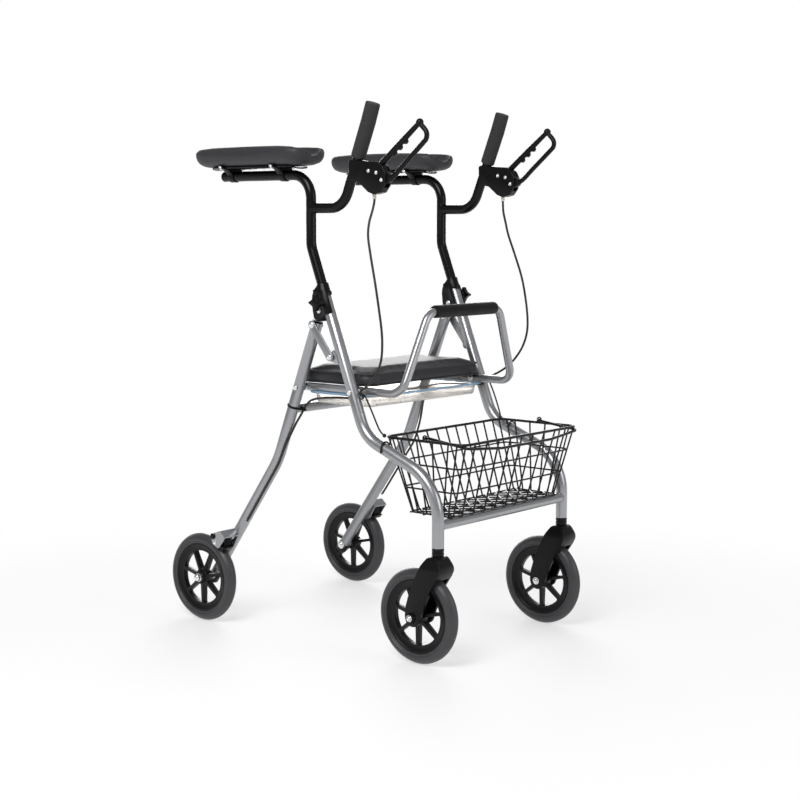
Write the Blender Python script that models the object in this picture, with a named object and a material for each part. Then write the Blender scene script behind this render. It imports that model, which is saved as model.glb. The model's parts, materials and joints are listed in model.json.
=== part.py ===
"""Four-wheel walking frame with forearm supports, modelled as the pieces it is assembled from.

Run with: blender --background --python part.py

Lengths are in metres and Z is up. The user walks towards -Y, so the swivel wheels are at -Y and
the user's right side is -X. Side views are drawn in a plane whose Y starts at the swivel axis of
the front wheels, and one empty carries every piece from there to the middle of the base.
"""
import math

import bmesh
import bpy
from mathutils import Matrix, Vector

# Overall layout
LEG_HALF_TRACK = 0.222
REAR_AXLE_Y = 0.654
CASTER_TRAIL = 0.049

# Clearances
GAP = 0.0003
RUNNING = 0.0004

# Tubes
LEG_RADIUS = 0.0125
ARM_RADIUS = 0.011
SEAT_TUBE_RADIUS = 0.009
CROSS_RADIUS = 0.011
REAR_CROSS_RADIUS = 0.010
TUBE_SIDES = 10
LEG_FACE = LEG_RADIUS * math.cos(math.pi / TUBE_SIDES)

# Wheels
WHEEL_RADIUS = 0.100
TYRE_WIDTH = 0.033
TYRE_DEPTH = 0.0207
TYRE_LAP = 0.0035
RIM_WIDTH = TYRE_WIDTH - 2 * TYRE_LAP
RIM_DEPTH = 0.0155
HUB_RADIUS = 0.0165
HUB_WIDTH = TYRE_WIDTH
SPOKES = 7
AXLE_RADIUS = 0.006
WHEEL_SEGMENTS = 24
NUT_RADIUS = 0.0095
WHEEL_LEG_GAP = 0.0065
REAR_WHEEL_HALF_TRACK = LEG_HALF_TRACK + LEG_RADIUS + WHEEL_LEG_GAP + TYRE_WIDTH / 2

# Front leg, drawn in the side plane
LEG_LEAN = math.radians(21.0)
FRONT_LEG_TOP_Z = 0.752
FRONT_LEG_KNEE = (0.1945, 0.4583)
FRONT_LEG_ANKLE = (0.0, 0.379)
FRONT_LEG_BOTTOM_Z = 0.2485
KNEE_BEND = 0.080
ANKLE_BEND = 0.112
CROSS_TUBE_Z = 0.2942

# Swivel fork
FORK_TOP_Z = 0.231
FORK_CLEARANCE = 0.0031
BLADE_THICKNESS = 0.0062
FORK_HALF_WIDTH = TYRE_WIDTH / 2 + FORK_CLEARANCE + BLADE_THICKNESS
STEM_RADIUS = 0.006
BUSH_SPIGOT = 0.0100
BUSH_SPIGOT_LENGTH = 0.026

# Folding linkage pivots, drawn in the side plane
SEAT_PIVOT = (0.230, 0.550)
REAR_PIVOT = (0.385, 0.550)
LINK_TOP = (0.332, 0.688)
LINK_FOOT = (0.281, 0.622)
PIVOT_RADIUS = 0.005
LINK_PIN_RADIUS = 0.004
LINK_THICKNESS = 0.004
LINK_HALF_WIDTH = 0.009
LINK_GAP = 0.0013
LINK_INNER_X = LEG_HALF_TRACK + LEG_RADIUS + LINK_GAP
LUG_THICKNESS = 0.005

# Rear leg, drawn in the side plane
REAR_LEG_KNEE = (0.4485, 0.3865)
REAR_KNEE_BEND = 0.200
REAR_LEG_TOP_REACH = 0.006
REAR_LEG_END_REACH = 0.013
REAR_CROSS_Z = 0.502

# Seat
RAIL_GAP = 0.0065
SEAT_TUBE_X = LEG_HALF_TRACK - LEG_RADIUS - RAIL_GAP - SEAT_TUBE_RADIUS
SEAT_TUBE_Z = SEAT_PIVOT[1]
SEAT_TUBE_REAR = 0.0095
LOOP_FRONT_Y = 0.120
LOOP_LOW_BEND = 0.034
LOOP_TOP = (0.1226, 0.106, 0.7185)
LOOP_TOP_BEND = 0.024
LOOP_GRIP_LENGTH = 0.200
LOOP_GRIP_RADIUS = 0.0135
CUSHION_HALF_WIDTH = SEAT_TUBE_X + 0.005
CUSHION_FRONT_Y = 0.205
CUSHION_REAR_Y = 0.405
CUSHION_THICKNESS = 0.029
CUSHION_CROWN = 0.008
CUSHION_DRAW_IN = 0.005
TRAY_HALF_WIDTH = SEAT_TUBE_X + 0.0045
TRAY_FRONT_Y = 0.203
TRAY_REAR_Y = 0.383
TRAY_DEPTH = 0.026
TRAY_WALL = 0.0025
TRAY_LIP = 0.008
TRAY_CLIP_WIDTH = 0.014

# Forearm supports
ARM_BEND_Y = 0.347
ARM_BEND = 0.055
ARM_TUBE_FOOT_Z = 0.612
PAD_TUBE_Z = 1.004
PAD_TUBE_REAR_Y = 0.606
PAD_TUBE_BEND = 0.050
BRANCH_Z = 0.934
BRANCH_BEND = 0.050
GRIP_FOOT = (0.2115, 1.0450)
GRIP_KINK = (0.1865, 1.1080)
GRIP_TOP = (0.1735, 1.1460)
GRIP_RADIUS = 0.015
GRIP_SIDES = 14
PAD_MIDDLE_Y = 0.501
PAD_LENGTH = 0.338
PAD_HALF_WIDTH = 0.055
PAD_CENTRE_Z = 1.0215
PAD_RISE = 0.039
PAD_THICKNESS = 0.018
PAD_FACETS = 4
PAD_STATIONS = (-1.0, -0.97, -0.88, -0.75, -0.5, 0.0, 0.5, 0.75, 0.88, 0.97, 1.0)
PAD_END_SHARE = 0.22
PAD_END_LIFT = 0.012
PAD_RIM_FALL = 0.62
PAD_HOLLOW_SHARE = 0.80
PAD_SEAT = 0.0009
SHELL_SHARE = 0.75
SHELL_END_SHARE = 0.58
SHELL_DROP = 0.0025
SHELL_SETBACK = 0.032
SHELL_WALL = 0.003
ARM_DEPTH = 0.004
BRACKET_SHARE = 0.60
BRACKET_Y = (0.424, 0.578)
BRACKET_WIDTH = 0.020
BRACKET_RING = 0.0130

# Clamp at the top of each front leg
CLAMP_WALL = 0.0027
CLAMP_SPLIT_Z = 0.7535
CLAMP_TOP_Z = 0.7740
CLAMP_COLLAR_Z = 0.7115
SLEEVE_WALL = 0.0026
KNOB_CENTRE = (0.3038, 0.7362)
KNOB_BOSS_REACH = LEG_RADIUS + 0.0082
KNOB_RADIUS = 0.020
KNOB_LOBES = 4
KNOB_THICKNESS = 0.013
KNOB_NECK = 0.006

# Brake lever and its housing
HOUSING_HALF_WIDTH = 0.0135
LEVER_HALF_THICKNESS = 0.0062
LEVER_PIVOT = (0.1520, 0.9920)
LEVER_PIN_RADIUS = 0.0035
LEVER_ARM = 0.0047
LEVER_TEETH = 4
LEVER_REAR_RADII = [0.0062, 0.0056, 0.0048, 0.0066, 0.0080, 0.0070, 0.0030]

# Rear brake
BRAKE_INNER_X = LEG_HALF_TRACK + LEG_FACE + GAP
BRAKE_OUTER_X = REAR_WHEEL_HALF_TRACK + TYRE_WIDTH / 2 + 0.0052
BRAKE_SHEET = 0.0025
SHOE_PIVOT = (REAR_AXLE_Y - 0.054, WHEEL_RADIUS + 0.1035)
SHOE_THICKNESS = 0.010
SHOE_STOP = 0.0014
SHOE_FROM = math.radians(127.0)
SHOE_TO = math.radians(151.0)
SHOE_SWING = math.radians(3.2)

# Basket
RIM_Z = 0.460
FLOOR_Z = 0.307
RIM_FRONT_Y = -0.050
RIM_BACK_Y = 0.157
FLOOR_FRONT_Y = -0.008
FLOOR_BACK_Y = 0.103
BASKET_GAP = 0.0065
RIM_HALF_WIDTH = LEG_HALF_TRACK - LEG_RADIUS - BASKET_GAP
FLOOR_HALF_WIDTH = RIM_HALF_WIDTH - 0.015
WIRE = 0.003
RIM_WIRE = 0.005
FRONT_COLUMNS = 10
BACK_COLUMNS = 12
SIDE_COLUMNS = 5
ROWS = 3
LATTICE_COLUMNS = 8
LATTICE_ROWS = 3
BAIL_RADIUS = 0.003
BAIL_PIVOT = (0.050, 0.4662)
BAIL_HALF_WIDTH = RIM_HALF_WIDTH - 0.0075
BAIL_FRONT_Y = -0.056
BAIL_MIDDLE = (-0.066, 0.441)

# Cables
CABLE_RADIUS = 0.0025

# Hand-set route of the free stretch of the left brake cable, from lever housing to leg clip
UPPER_CABLE_ROUTE = [
    (0.2220, 0.1700, 0.9520), (0.2225, 0.1700, 0.9450), (0.2265, 0.1715, 0.9280),
    (0.2360, 0.1720, 0.9040), (0.2430, 0.1690, 0.8760), (0.2490, 0.1570, 0.8370),
    (0.2550, 0.1400, 0.7830), (0.2565, 0.1290, 0.7330), (0.2555, 0.1220, 0.6860),
    (0.2530, 0.1225, 0.6520), (0.2475, 0.1310, 0.6210), (0.2420, 0.1480, 0.5940),
    (0.2375, 0.1680, 0.5745), (0.2340, 0.1860, 0.5625), (0.2320, 0.1970, 0.5570),
]
# Hand-set route of its clipped stretch, from the leg clip under the seat and down the rear leg
LOWER_CABLE_ROUTE = [
    (0.2314, 0.1984, 0.5560), (0.2270, 0.2055, 0.5505), (0.2180, 0.2065, 0.5440),
    (0.2095, 0.2110, 0.5385), (0.2055, 0.2200, 0.5350), (0.2045, 0.2350, 0.5340),
    (0.2045, 0.2600, 0.5340), (0.2045, 0.3000, 0.5320), (0.2045, 0.3400, 0.5280),
    (0.2050, 0.3650, 0.5215), (0.2070, 0.3800, 0.5090), (0.2110, 0.3880, 0.4920),
    (0.2180, 0.3985, 0.4700), (0.2250, 0.4085, 0.4450), (0.2310, 0.4215, 0.4150),
    (0.2330, 0.4370, 0.3800), (0.2330, 0.4615, 0.3450), (0.2330, 0.4965, 0.2960),
    (0.2325, 0.5285, 0.2510), (0.2325, 0.5380, 0.2390),
]


def clear_scene():
    """Removes whatever the scene holds."""
    for thing in list(bpy.data.objects):
        bpy.data.objects.remove(thing)


def make_material(name, color, roughness, metallic):
    """Returns a Principled material of one colour."""
    material = bpy.data.materials.new(name)
    material.use_nodes = True
    shader = material.node_tree.nodes["Principled BSDF"]
    shader.inputs["Base Color"].default_value = (*color, 1.0)
    shader.inputs["Roughness"].default_value = roughness
    shader.inputs["Metallic"].default_value = metallic
    return material


def centre_y():
    """Returns the Y halfway between the front of the bail and the back of the rear wheels."""
    return (BAIL_MIDDLE[0] - BAIL_RADIUS + REAR_AXLE_Y + WHEEL_RADIUS) / 2


def clear_of(radius, sides):
    """Returns the corner radius of a polygon whose flats lie at the given radius."""
    return radius / math.cos(math.pi / sides)


def side(y, z, x=0.0):
    """Returns a point of the side plane at the given X."""
    return Vector((x, y, z))


def leg_axis_y(z):
    """Returns the Y of the upper front leg's axis at a height."""
    return SEAT_PIVOT[0] + (z - SEAT_PIVOT[1]) * math.tan(LEG_LEAN)


def rear_axis_y(z):
    """Returns the Y of the upper rear leg's axis at a height."""
    slope = (REAR_LEG_KNEE[0] - REAR_PIVOT[0]) / (REAR_PIVOT[1] - REAR_LEG_KNEE[1])
    return REAR_PIVOT[0] + (REAR_PIVOT[1] - z) * slope


def rear_foot_y(z):
    """Returns the Y of the lower rear leg's axis at a height."""
    share = (REAR_LEG_KNEE[1] - z) / (REAR_LEG_KNEE[1] - WHEEL_RADIUS)
    return REAR_LEG_KNEE[0] + share * (REAR_AXLE_Y - REAR_LEG_KNEE[0])


def filleted(corners, radii, step=math.radians(12.0)):
    """Returns a polyline whose inner corners are rounded by arcs of the given radii."""
    points = [Vector(corners[0])]
    for before, corner, after, radius in zip(corners, corners[1:], corners[2:], radii):
        corner = Vector(corner)
        toward_start = (Vector(before) - corner).normalized()
        toward_end = (Vector(after) - corner).normalized()
        turn = math.pi - toward_start.angle(toward_end)
        reach = radius * math.tan(turn / 2)
        first = corner + toward_start * reach
        centre = corner + (toward_start + toward_end).normalized() * (radius / math.cos(turn / 2))
        axis = (corner - first).cross(centre - first).normalized()
        count = max(2, math.ceil(turn / step))
        for index in range(count + 1):
            spin = Matrix.Rotation(turn * index / count, 3, axis)
            points.append(centre + spin @ (first - centre))
    points.append(Vector(corners[-1]))
    return points


def smooth_route(route, spacing):
    """Returns points a set distance apart along a smooth curve through a route."""
    knots = [Vector(p) for p in route]
    fine = []
    for i in range(len(knots) - 1):
        p0 = knots[max(i - 1, 0)]
        p1 = knots[i]
        p2 = knots[i + 1]
        p3 = knots[min(i + 2, len(knots) - 1)]
        for k in range(12):
            t = k / 12
            a = 2 * p1
            b = (p2 - p0) * t
            c = (2 * p0 - 5 * p1 + 4 * p2 - p3) * t * t
            d = (3 * p1 - p0 - 3 * p2 + p3) * t * t * t
            fine.append((a + b + c + d) * 0.5)
    fine.append(knots[-1])
    lengths = [0.0]
    for p, q in zip(fine, fine[1:]):
        lengths.append(lengths[-1] + (q - p).length)
    count = max(2, round(lengths[-1] / spacing))
    points = []
    j = 0
    for i in range(count + 1):
        goal = lengths[-1] * i / count
        while j < len(fine) - 2 and lengths[j + 1] < goal:
            j += 1
        span = lengths[j + 1] - lengths[j]
        points.append(fine[j].lerp(fine[j + 1], (goal - lengths[j]) / span))
    return points


def bridge_rings(mesh, rings, closed=False):
    """Joins rings of as many vertices with quads, and closes the ends unless the rings go round."""
    pairs = list(zip(rings, rings[1:]))
    if closed:
        pairs.append((rings[-1], rings[0]))
    for a, b in pairs:
        for i in range(len(a)):
            j = (i + 1) % len(a)
            mesh.faces.new((a[i], a[j], b[j], b[i]))
    if not closed:
        mesh.faces.new(list(reversed(rings[0])))
        mesh.faces.new(rings[-1])
    bmesh.ops.recalc_face_normals(mesh, faces=mesh.faces)
    return mesh


def sweep(points, radius, sides=TUBE_SIDES, phase=0.5):
    """Returns a round bar along a polyline, with mitred joints and flat ends.

    radius is one size, or one for each point.
    """
    mesh = bmesh.new()
    radii = radius if isinstance(radius, (list, tuple)) else [radius] * len(points)
    tangents = []
    for i in range(len(points)):
        ahead = points[min(i + 1, len(points) - 1)] - points[min(i, len(points) - 2)]
        behind = points[max(i, 1)] - points[max(i - 1, 0)]
        tangents.append((ahead.normalized() + behind.normalized()).normalized())
    normal = tangents[0].orthogonal().normalized()
    if abs(tangents[0].x) < 0.9:
        normal = (Vector((1, 0, 0)) - tangents[0] * tangents[0].x).normalized()
    rings = []
    for i, point in enumerate(points):
        if i:
            normal.rotate(tangents[i - 1].rotation_difference(tangents[i]))
        across = tangents[i].cross(normal)
        ahead = points[min(i + 1, len(points) - 1)] - points[min(i, len(points) - 2)]
        bend = ahead.normalized().cross(tangents[i])
        stretch = 1.0
        out = Vector((0, 0, 0))
        if bend.length > 1e-6:
            out = tangents[i].cross(bend.normalized())
            stretch = 1.0 / max(0.5, math.sqrt(1 - bend.length_squared))
        ring = []
        for k in range(sides):
            angle = 2 * math.pi * (k + phase) / sides
            spoke = normal * math.cos(angle) + across * math.sin(angle)
            spoke += out * (spoke.dot(out) * (stretch - 1.0))
            ring.append(mesh.verts.new(point + spoke * radii[i]))
        rings.append(ring)
    return bridge_rings(mesh, rings)


def revolve(profile, segments, closed=False, sweep_angle=2 * math.pi):
    """Returns a body turned about X from (radius, x) points.

    A closed profile makes a ring. An open one starts and ends with flat faces.
    """
    mesh = bmesh.new()
    if closed:
        rings = []
        for i in range(segments):
            angle = sweep_angle * i / segments - math.pi / 2
            ring = [mesh.verts.new((x, r * math.cos(angle), r * math.sin(angle))) for r, x in profile]
            rings.append(ring)
        return bridge_rings(mesh, rings, closed=True)
    rings = []
    for r, x in profile:
        ring = []
        for i in range(segments):
            angle = sweep_angle * i / segments - math.pi / 2
            ring.append(mesh.verts.new((x, r * math.cos(angle), r * math.sin(angle))))
        rings.append(ring)
    return bridge_rings(mesh, rings)


def cylinder(radius, x_low, x_high, y, z, segments=16):
    """Returns a cylinder that lies along X."""
    mesh = revolve([(radius, x_low), (radius, x_high)], segments)
    return moved(mesh, (0, y, z))


def bar(start, end, radius, sides=TUBE_SIDES):
    """Returns a straight round bar between two points."""
    return sweep([Vector(start), Vector(end)], radius, sides)


def extruded(outline, x_low, x_high, bevel=0.0, bevel_segments=1):
    """Returns a plate whose outline is drawn in (y, z) and which is thick along X."""
    mesh = bmesh.new()
    ring_low = [mesh.verts.new((x_low, y, z)) for y, z in outline]
    ring_high = [mesh.verts.new((x_high, y, z)) for y, z in outline]
    bridge_rings(mesh, [ring_low, ring_high])
    if bevel:
        rim = [e for e in mesh.edges if abs(e.verts[0].co.x - e.verts[1].co.x) < 1e-7]
        bmesh.ops.bevel(mesh, geom=rim, offset=bevel, segments=bevel_segments, affect="EDGES",
                        profile=0.5)
    return mesh


def box(low, high):
    """Returns a box between two corners."""
    outline = [(low[1], low[2]), (high[1], low[2]), (high[1], high[2]), (low[1], high[2])]
    return extruded(outline, low[0], high[0])


def moved(mesh, offset):
    """Shifts a mesh and returns it."""
    bmesh.ops.translate(mesh, vec=Vector(offset), verts=mesh.verts)
    return mesh


def turned(mesh, axis, angle, centre):
    """Turns a mesh about an axis through a point and returns it."""
    bmesh.ops.rotate(mesh, cent=Vector(centre), matrix=Matrix.Rotation(angle, 3, axis), verts=mesh.verts)
    return mesh


def arc(centre, radius, start, end, count):
    """Returns points on an arc in the side plane, angles measured from +Y towards +Z."""
    points = []
    for i in range(count + 1):
        angle = start + (end - start) * i / count
        points.append((centre[0] + radius * math.cos(angle), centre[1] + radius * math.sin(angle)))
    return points


def capsule(start, end, radius, count=6):
    """Returns the outline of a flat bar with round ends, in the side plane."""
    angle = math.atan2(end[1] - start[1], end[0] - start[0])
    half = math.pi / 2
    return (arc(end, radius, angle - half, angle + half, count)
            + arc(start, radius, angle + half, angle + 3 * half, count))


def to_object(name, mesh):
    """Moves a bmesh into a new object in the scene."""
    data = bpy.data.meshes.new(name)
    mesh.to_mesh(data)
    mesh.free()
    thing = bpy.data.objects.new(name, data)
    bpy.context.scene.collection.objects.link(thing)
    return thing


def combined(base, added=(), cut=()):
    """Returns a bmesh of the base with bodies joined to it and others cut from it."""
    thing = to_object("base", base)
    tools = []
    for operation, bodies in (("UNION", added), ("DIFFERENCE", cut)):
        for body in bodies:
            tool = to_object("tool", body)
            tool.hide_render = True
            tool.display_type = "WIRE"
            tools.append(tool)
            step = thing.modifiers.new("step", "BOOLEAN")
            step.operation = operation
            step.solver = "EXACT"
            step.object = tool
    bpy.context.view_layer.update()
    result = bmesh.new()
    result.from_mesh(thing.evaluated_get(bpy.context.evaluated_depsgraph_get()).data)
    for used in [thing] + tools:
        bpy.data.objects.remove(used)
    bmesh.ops.remove_doubles(result, verts=result.verts, dist=0.00002)
    bmesh.ops.dissolve_degenerate(result, edges=result.edges, dist=0.00002)
    return result


def mirrored(mesh):
    """Returns the mirror image of a mesh across the middle plane."""
    copy = mesh.copy()
    for vert in copy.verts:
        vert.co.x = -vert.co.x
    bmesh.ops.reverse_faces(copy, faces=copy.faces)
    return copy


class Builder:
    """Places finished pieces under one empty that centres the frame on its origin."""

    def __init__(self):
        self.origin = bpy.data.objects.new("frame_origin", None)
        self.origin.location = (0, -centre_y(), 0)
        bpy.context.scene.collection.objects.link(self.origin)
        self.materials = {
            "silver": make_material("silver_paint", (0.46, 0.47, 0.50), 0.35, 0.8),
            "black_tube": make_material("black_paint", (0.02, 0.02, 0.022), 0.4, 0.0),
            "plastic": make_material("black_plastic", (0.02, 0.02, 0.022), 0.5, 0.0),
            "rubber": make_material("grey_rubber", (0.09, 0.09, 0.095), 0.75, 0.0),
            "foam": make_material("black_foam", (0.015, 0.015, 0.016), 0.85, 0.0),
            "vinyl": make_material("black_vinyl", (0.02, 0.02, 0.022), 0.45, 0.0),
            "steel": make_material("bright_steel", (0.7, 0.71, 0.72), 0.25, 1.0),
            "wire": make_material("black_wire", (0.015, 0.015, 0.016), 0.4, 0.0),
            "clear": make_material("clear_tray", (0.75, 0.83, 0.9), 0.15, 0.0),
        }

    def place(self, name, mesh, material, pivot=(0, 0, 0)):
        """Makes a finished object whose origin is its pivot."""
        moved(mesh, -Vector(pivot))
        thing = to_object(name, mesh)
        thing.data.materials.append(self.materials[material])
        thing.data.shade_smooth()
        thing.data.set_sharp_from_angle(angle=math.radians(35))
        thing.parent = self.origin
        thing.location = pivot
        return thing

    def pair(self, name, mesh, material, pivot=(0, 0, 0)):
        """Makes a left piece and its mirror image on the right."""
        twin = mirrored(mesh)
        self.place(name + "_left", mesh, material, pivot)
        self.place(name + "_right", twin, material, (-pivot[0], pivot[1], pivot[2]))

    def cord(self, name, points, radius, material):
        """Makes a round cord as a bevelled curve, and its mirror image on the right."""
        for suffix, sign in (("_left", 1), ("_right", -1)):
            curve = bpy.data.curves.new(name + suffix, "CURVE")
            curve.dimensions = "3D"
            curve.bevel_depth = radius
            curve.bevel_resolution = 1
            curve.use_fill_caps = True
            spline = curve.splines.new("POLY")
            spline.points.add(len(points) - 1)
            for slot, point in zip(spline.points, points):
                slot.co = (sign * point.x, point.y, point.z, 1.0)
            thing = bpy.data.objects.new(name + suffix, curve)
            thing.data.materials.append(self.materials[material])
            bpy.context.scene.collection.objects.link(thing)
            thing.parent = self.origin


def wheel_mesh():
    """Returns the moulded wheel: a channelled rim, tapered spokes and a bored hub, about X."""
    outer = WHEEL_RADIUS - TYRE_DEPTH - GAP
    inner = outer - RIM_DEPTH
    half = RIM_WIDTH / 2
    flank = 0.003
    rim = revolve([(outer, -half), (outer, half), (inner, half), (inner - flank, 0), (inner, -half)],
                  WHEEL_SEGMENTS, closed=True)
    hub = revolve([(HUB_RADIUS * 0.8, -HUB_WIDTH / 2), (HUB_RADIUS, -HUB_WIDTH / 3), (HUB_RADIUS, HUB_WIDTH / 3),
                   (HUB_RADIUS * 0.8, HUB_WIDTH / 2)], 10)
    spokes = []
    for index in range(SPOKES):
        start = HUB_RADIUS - 0.004
        end = inner + 0.002
        mesh = bmesh.new()
        rings = []
        for reach, half_width, half_depth in ((start, 0.0068, 0.0075), (end, 0.0050, 0.0055)):
            corners = [(half_depth, 0), (0, -half_width), (-half_depth, 0), (0, half_width)]
            rings.append([mesh.verts.new((x, y, reach)) for x, y in corners])
        bridge_rings(mesh, rings)
        turned(mesh, "X", 2 * math.pi * (index + 0.5) / SPOKES, (0, 0, 0))
        spokes.append(mesh)
    bore = cylinder(AXLE_RADIUS + RUNNING, -HUB_WIDTH, HUB_WIDTH, 0, 0, 10)
    return combined(rim, [hub] + spokes, [bore])


def tyre_mesh():
    """Returns the rubber tyre about X, rounded across its tread."""
    inner = WHEEL_RADIUS - TYRE_DEPTH
    half = TYRE_WIDTH / 2
    profile = [(inner, -RIM_WIDTH / 2 - 0.0005), (inner + 0.0075, -half), (WHEEL_RADIUS, -half * 0.45),
               (WHEEL_RADIUS, half * 0.45), (inner + 0.0075, half), (inner, RIM_WIDTH / 2 + 0.0005)]
    return revolve(profile, WHEEL_SEGMENTS, closed=True)


def axle_mesh(x_low, x_high):
    """Returns an axle bolt along X with a head at one end and a nut at the other."""
    head = 0.0055
    return revolve([(NUT_RADIUS, x_low - head), (NUT_RADIUS, x_low), (AXLE_RADIUS, x_low), (AXLE_RADIUS, x_high),
                    (NUT_RADIUS, x_high), (NUT_RADIUS * 0.8, x_high + head)], 10)


def build_wheels(builder):
    """Makes the rear wheels, the front wheels, and their tyres and axles."""
    front_x = LEG_HALF_TRACK
    hubs = {"rear": (REAR_WHEEL_HALF_TRACK, REAR_AXLE_Y, WHEEL_RADIUS),
            "front": (front_x, CASTER_TRAIL, WHEEL_RADIUS)}
    for name, hub in hubs.items():
        builder.pair(name + "_wheel", moved(wheel_mesh(), hub), "plastic", hub)
        builder.pair(name + "_tyre", moved(tyre_mesh(), hub), "rubber", hub)
    inner = LEG_HALF_TRACK - LEG_FACE - GAP
    outer = REAR_WHEEL_HALF_TRACK + HUB_WIDTH / 2 + RUNNING
    hub = hubs["rear"]
    builder.pair("rear_axle", moved(axle_mesh(inner, outer), (0, hub[1], hub[2])), "steel",
                 (inner, hub[1], hub[2]))
    hub = hubs["front"]
    reach = FORK_HALF_WIDTH + GAP
    builder.pair("front_axle", moved(axle_mesh(-reach, reach), hub), "steel", hub)


def build_forks(builder):
    """Makes the swivel forks with their stems, and the bushes that the stems turn in."""
    hub = (CASTER_TRAIL, WHEEL_RADIUS)
    outline = [(-0.0235, FORK_TOP_Z), (-0.0235, 0.2050), (-0.0160, 0.1880), (-0.0010, 0.1660),
               (0.0140, 0.1330), (0.0250, 0.1050), (0.0310, 0.0880), (0.0400, 0.0815), (0.0520, 0.0815),
               (0.0620, 0.0880), (0.0665, 0.1010), (0.0640, 0.1230), (0.0540, 0.1560), (0.0390, 0.1880),
               (0.0290, 0.2080), (0.0235, FORK_TOP_Z)]
    body = extruded(outline, -FORK_HALF_WIDTH, FORK_HALF_WIDTH, bevel=0.003)
    slot_half = FORK_HALF_WIDTH - BLADE_THICKNESS
    wheel_slot = cylinder(WHEEL_RADIUS + 0.004, -slot_half, slot_half, hub[0], hub[1], 28)
    lower_slot = box((-slot_half, -0.03, 0.07), (slot_half, 0.08, 0.10))
    axle_bore = cylinder(AXLE_RADIUS + GAP, -0.05, 0.05, hub[0], hub[1], 10)
    stem_top = FRONT_LEG_BOTTOM_Z + BUSH_SPIGOT_LENGTH + 0.004
    stem = bar((0, 0, FORK_TOP_Z - 0.02), (0, 0, stem_top), STEM_RADIUS)
    seat = bar((0, 0, FORK_TOP_Z - 0.01), (0, 0, FORK_TOP_Z + 0.0012), 0.0135, 16)
    fork = combined(body, [stem, seat], [wheel_slot, lower_slot, axle_bore])
    builder.pair("fork", moved(fork, (LEG_HALF_TRACK, 0, 0)), "plastic", (LEG_HALF_TRACK, 0, FORK_TOP_Z))
    low = FORK_TOP_Z + 0.0012 + GAP
    shoulder = FRONT_LEG_BOTTOM_Z - GAP
    top = FRONT_LEG_BOTTOM_Z + BUSH_SPIGOT_LENGTH
    collar = bar((0, 0, low), (0, 0, shoulder), LEG_RADIUS)
    spigot = bar((0, 0, low), (0, 0, top), BUSH_SPIGOT)
    stem_bore = bar((0, 0, low - 0.01), (0, 0, top + 0.01), STEM_RADIUS + RUNNING)
    bush = combined(collar, [spigot], [stem_bore])
    builder.pair("stem_bush", moved(bush, (LEG_HALF_TRACK, 0, 0)), "plastic",
                 (LEG_HALF_TRACK, 0, FRONT_LEG_BOTTOM_Z))


def build_front_frame(builder):
    """Makes the bent front legs and the tube that joins them."""
    x = LEG_HALF_TRACK
    top = side(leg_axis_y(FRONT_LEG_TOP_Z), FRONT_LEG_TOP_Z, x)
    corners = [top, side(*FRONT_LEG_KNEE, x), side(*FRONT_LEG_ANKLE, x), side(0, FRONT_LEG_BOTTOM_Z, x)]
    tube = sweep(filleted(corners, (KNEE_BEND, ANKLE_BEND)), LEG_RADIUS)
    axis = (top - side(*SEAT_PIVOT, x)).normalized()
    arm_bore = bar(side(*SEAT_PIVOT, x) + axis * 0.040, top + axis * 0.01, ARM_RADIUS + GAP)
    spigot = BUSH_SPIGOT + GAP
    bush_bore = bar((x, 0, FRONT_LEG_BOTTOM_Z - 0.01), (x, 0, FRONT_LEG_BOTTOM_Z + BUSH_SPIGOT_LENGTH + 0.006),
                    spigot)
    seat_hole = cylinder(PIVOT_RADIUS + GAP, x - 0.03, x + 0.03, *SEAT_PIVOT, 10)
    foot_y, foot_z = LINK_FOOT
    lug_high = LINK_INNER_X - 0.0012
    lug_low = lug_high - LUG_THICKNESS
    lug = extruded([(foot_y + 0.0065, foot_z + 0.006), (foot_y + 0.003, foot_z + 0.009),
                    (leg_axis_y(foot_z + 0.017) + 0.006, foot_z + 0.017),
                    (leg_axis_y(foot_z - 0.016) + 0.006, foot_z - 0.016),
                    (foot_y + 0.003, foot_z - 0.009), (foot_y + 0.0075, foot_z - 0.004)], lug_low, lug_high)
    link_outer = LINK_INNER_X + LINK_THICKNESS
    stud = revolve([(LINK_PIN_RADIUS, lug_high - 0.003), (LINK_PIN_RADIUS, link_outer + GAP),
                    (LINK_PIN_RADIUS + 0.002, link_outer + GAP), (LINK_PIN_RADIUS + 0.002, link_outer + 0.0032)],
                   10)
    moved(stud, (0, *LINK_FOOT))
    leg = combined(tube, [lug, stud], [arm_bore, bush_bore, seat_hole])
    builder.pair("front_leg", leg, "silver")
    reach = x - LEG_FACE - GAP
    builder.place("front_cross_tube", bar((-reach, 0, CROSS_TUBE_Z), (reach, 0, CROSS_TUBE_Z), CROSS_RADIUS),
                  "silver")


def build_seat_pivots(builder):
    """Makes the bolts that the seat frame turns on, each with a spacer collar between the tubes."""
    inner = SEAT_TUBE_X - SEAT_TUBE_RADIUS - GAP
    outer = LEG_HALF_TRACK + LEG_FACE + GAP
    collar_low = SEAT_TUBE_X + SEAT_TUBE_RADIUS + RUNNING
    collar_high = LEG_HALF_TRACK - LEG_FACE - GAP
    head = 0.0042
    bolt = revolve([(0.007, inner - head), (0.008, inner), (PIVOT_RADIUS, inner), (PIVOT_RADIUS, collar_low),
                    (0.008, collar_low), (0.008, collar_high), (PIVOT_RADIUS, collar_high), (PIVOT_RADIUS, outer),
                    (0.008, outer), (0.005, outer + head)], 10)
    builder.pair("seat_pivot", moved(bolt, (0, *SEAT_PIVOT)), "steel", (inner, *SEAT_PIVOT))


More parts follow.
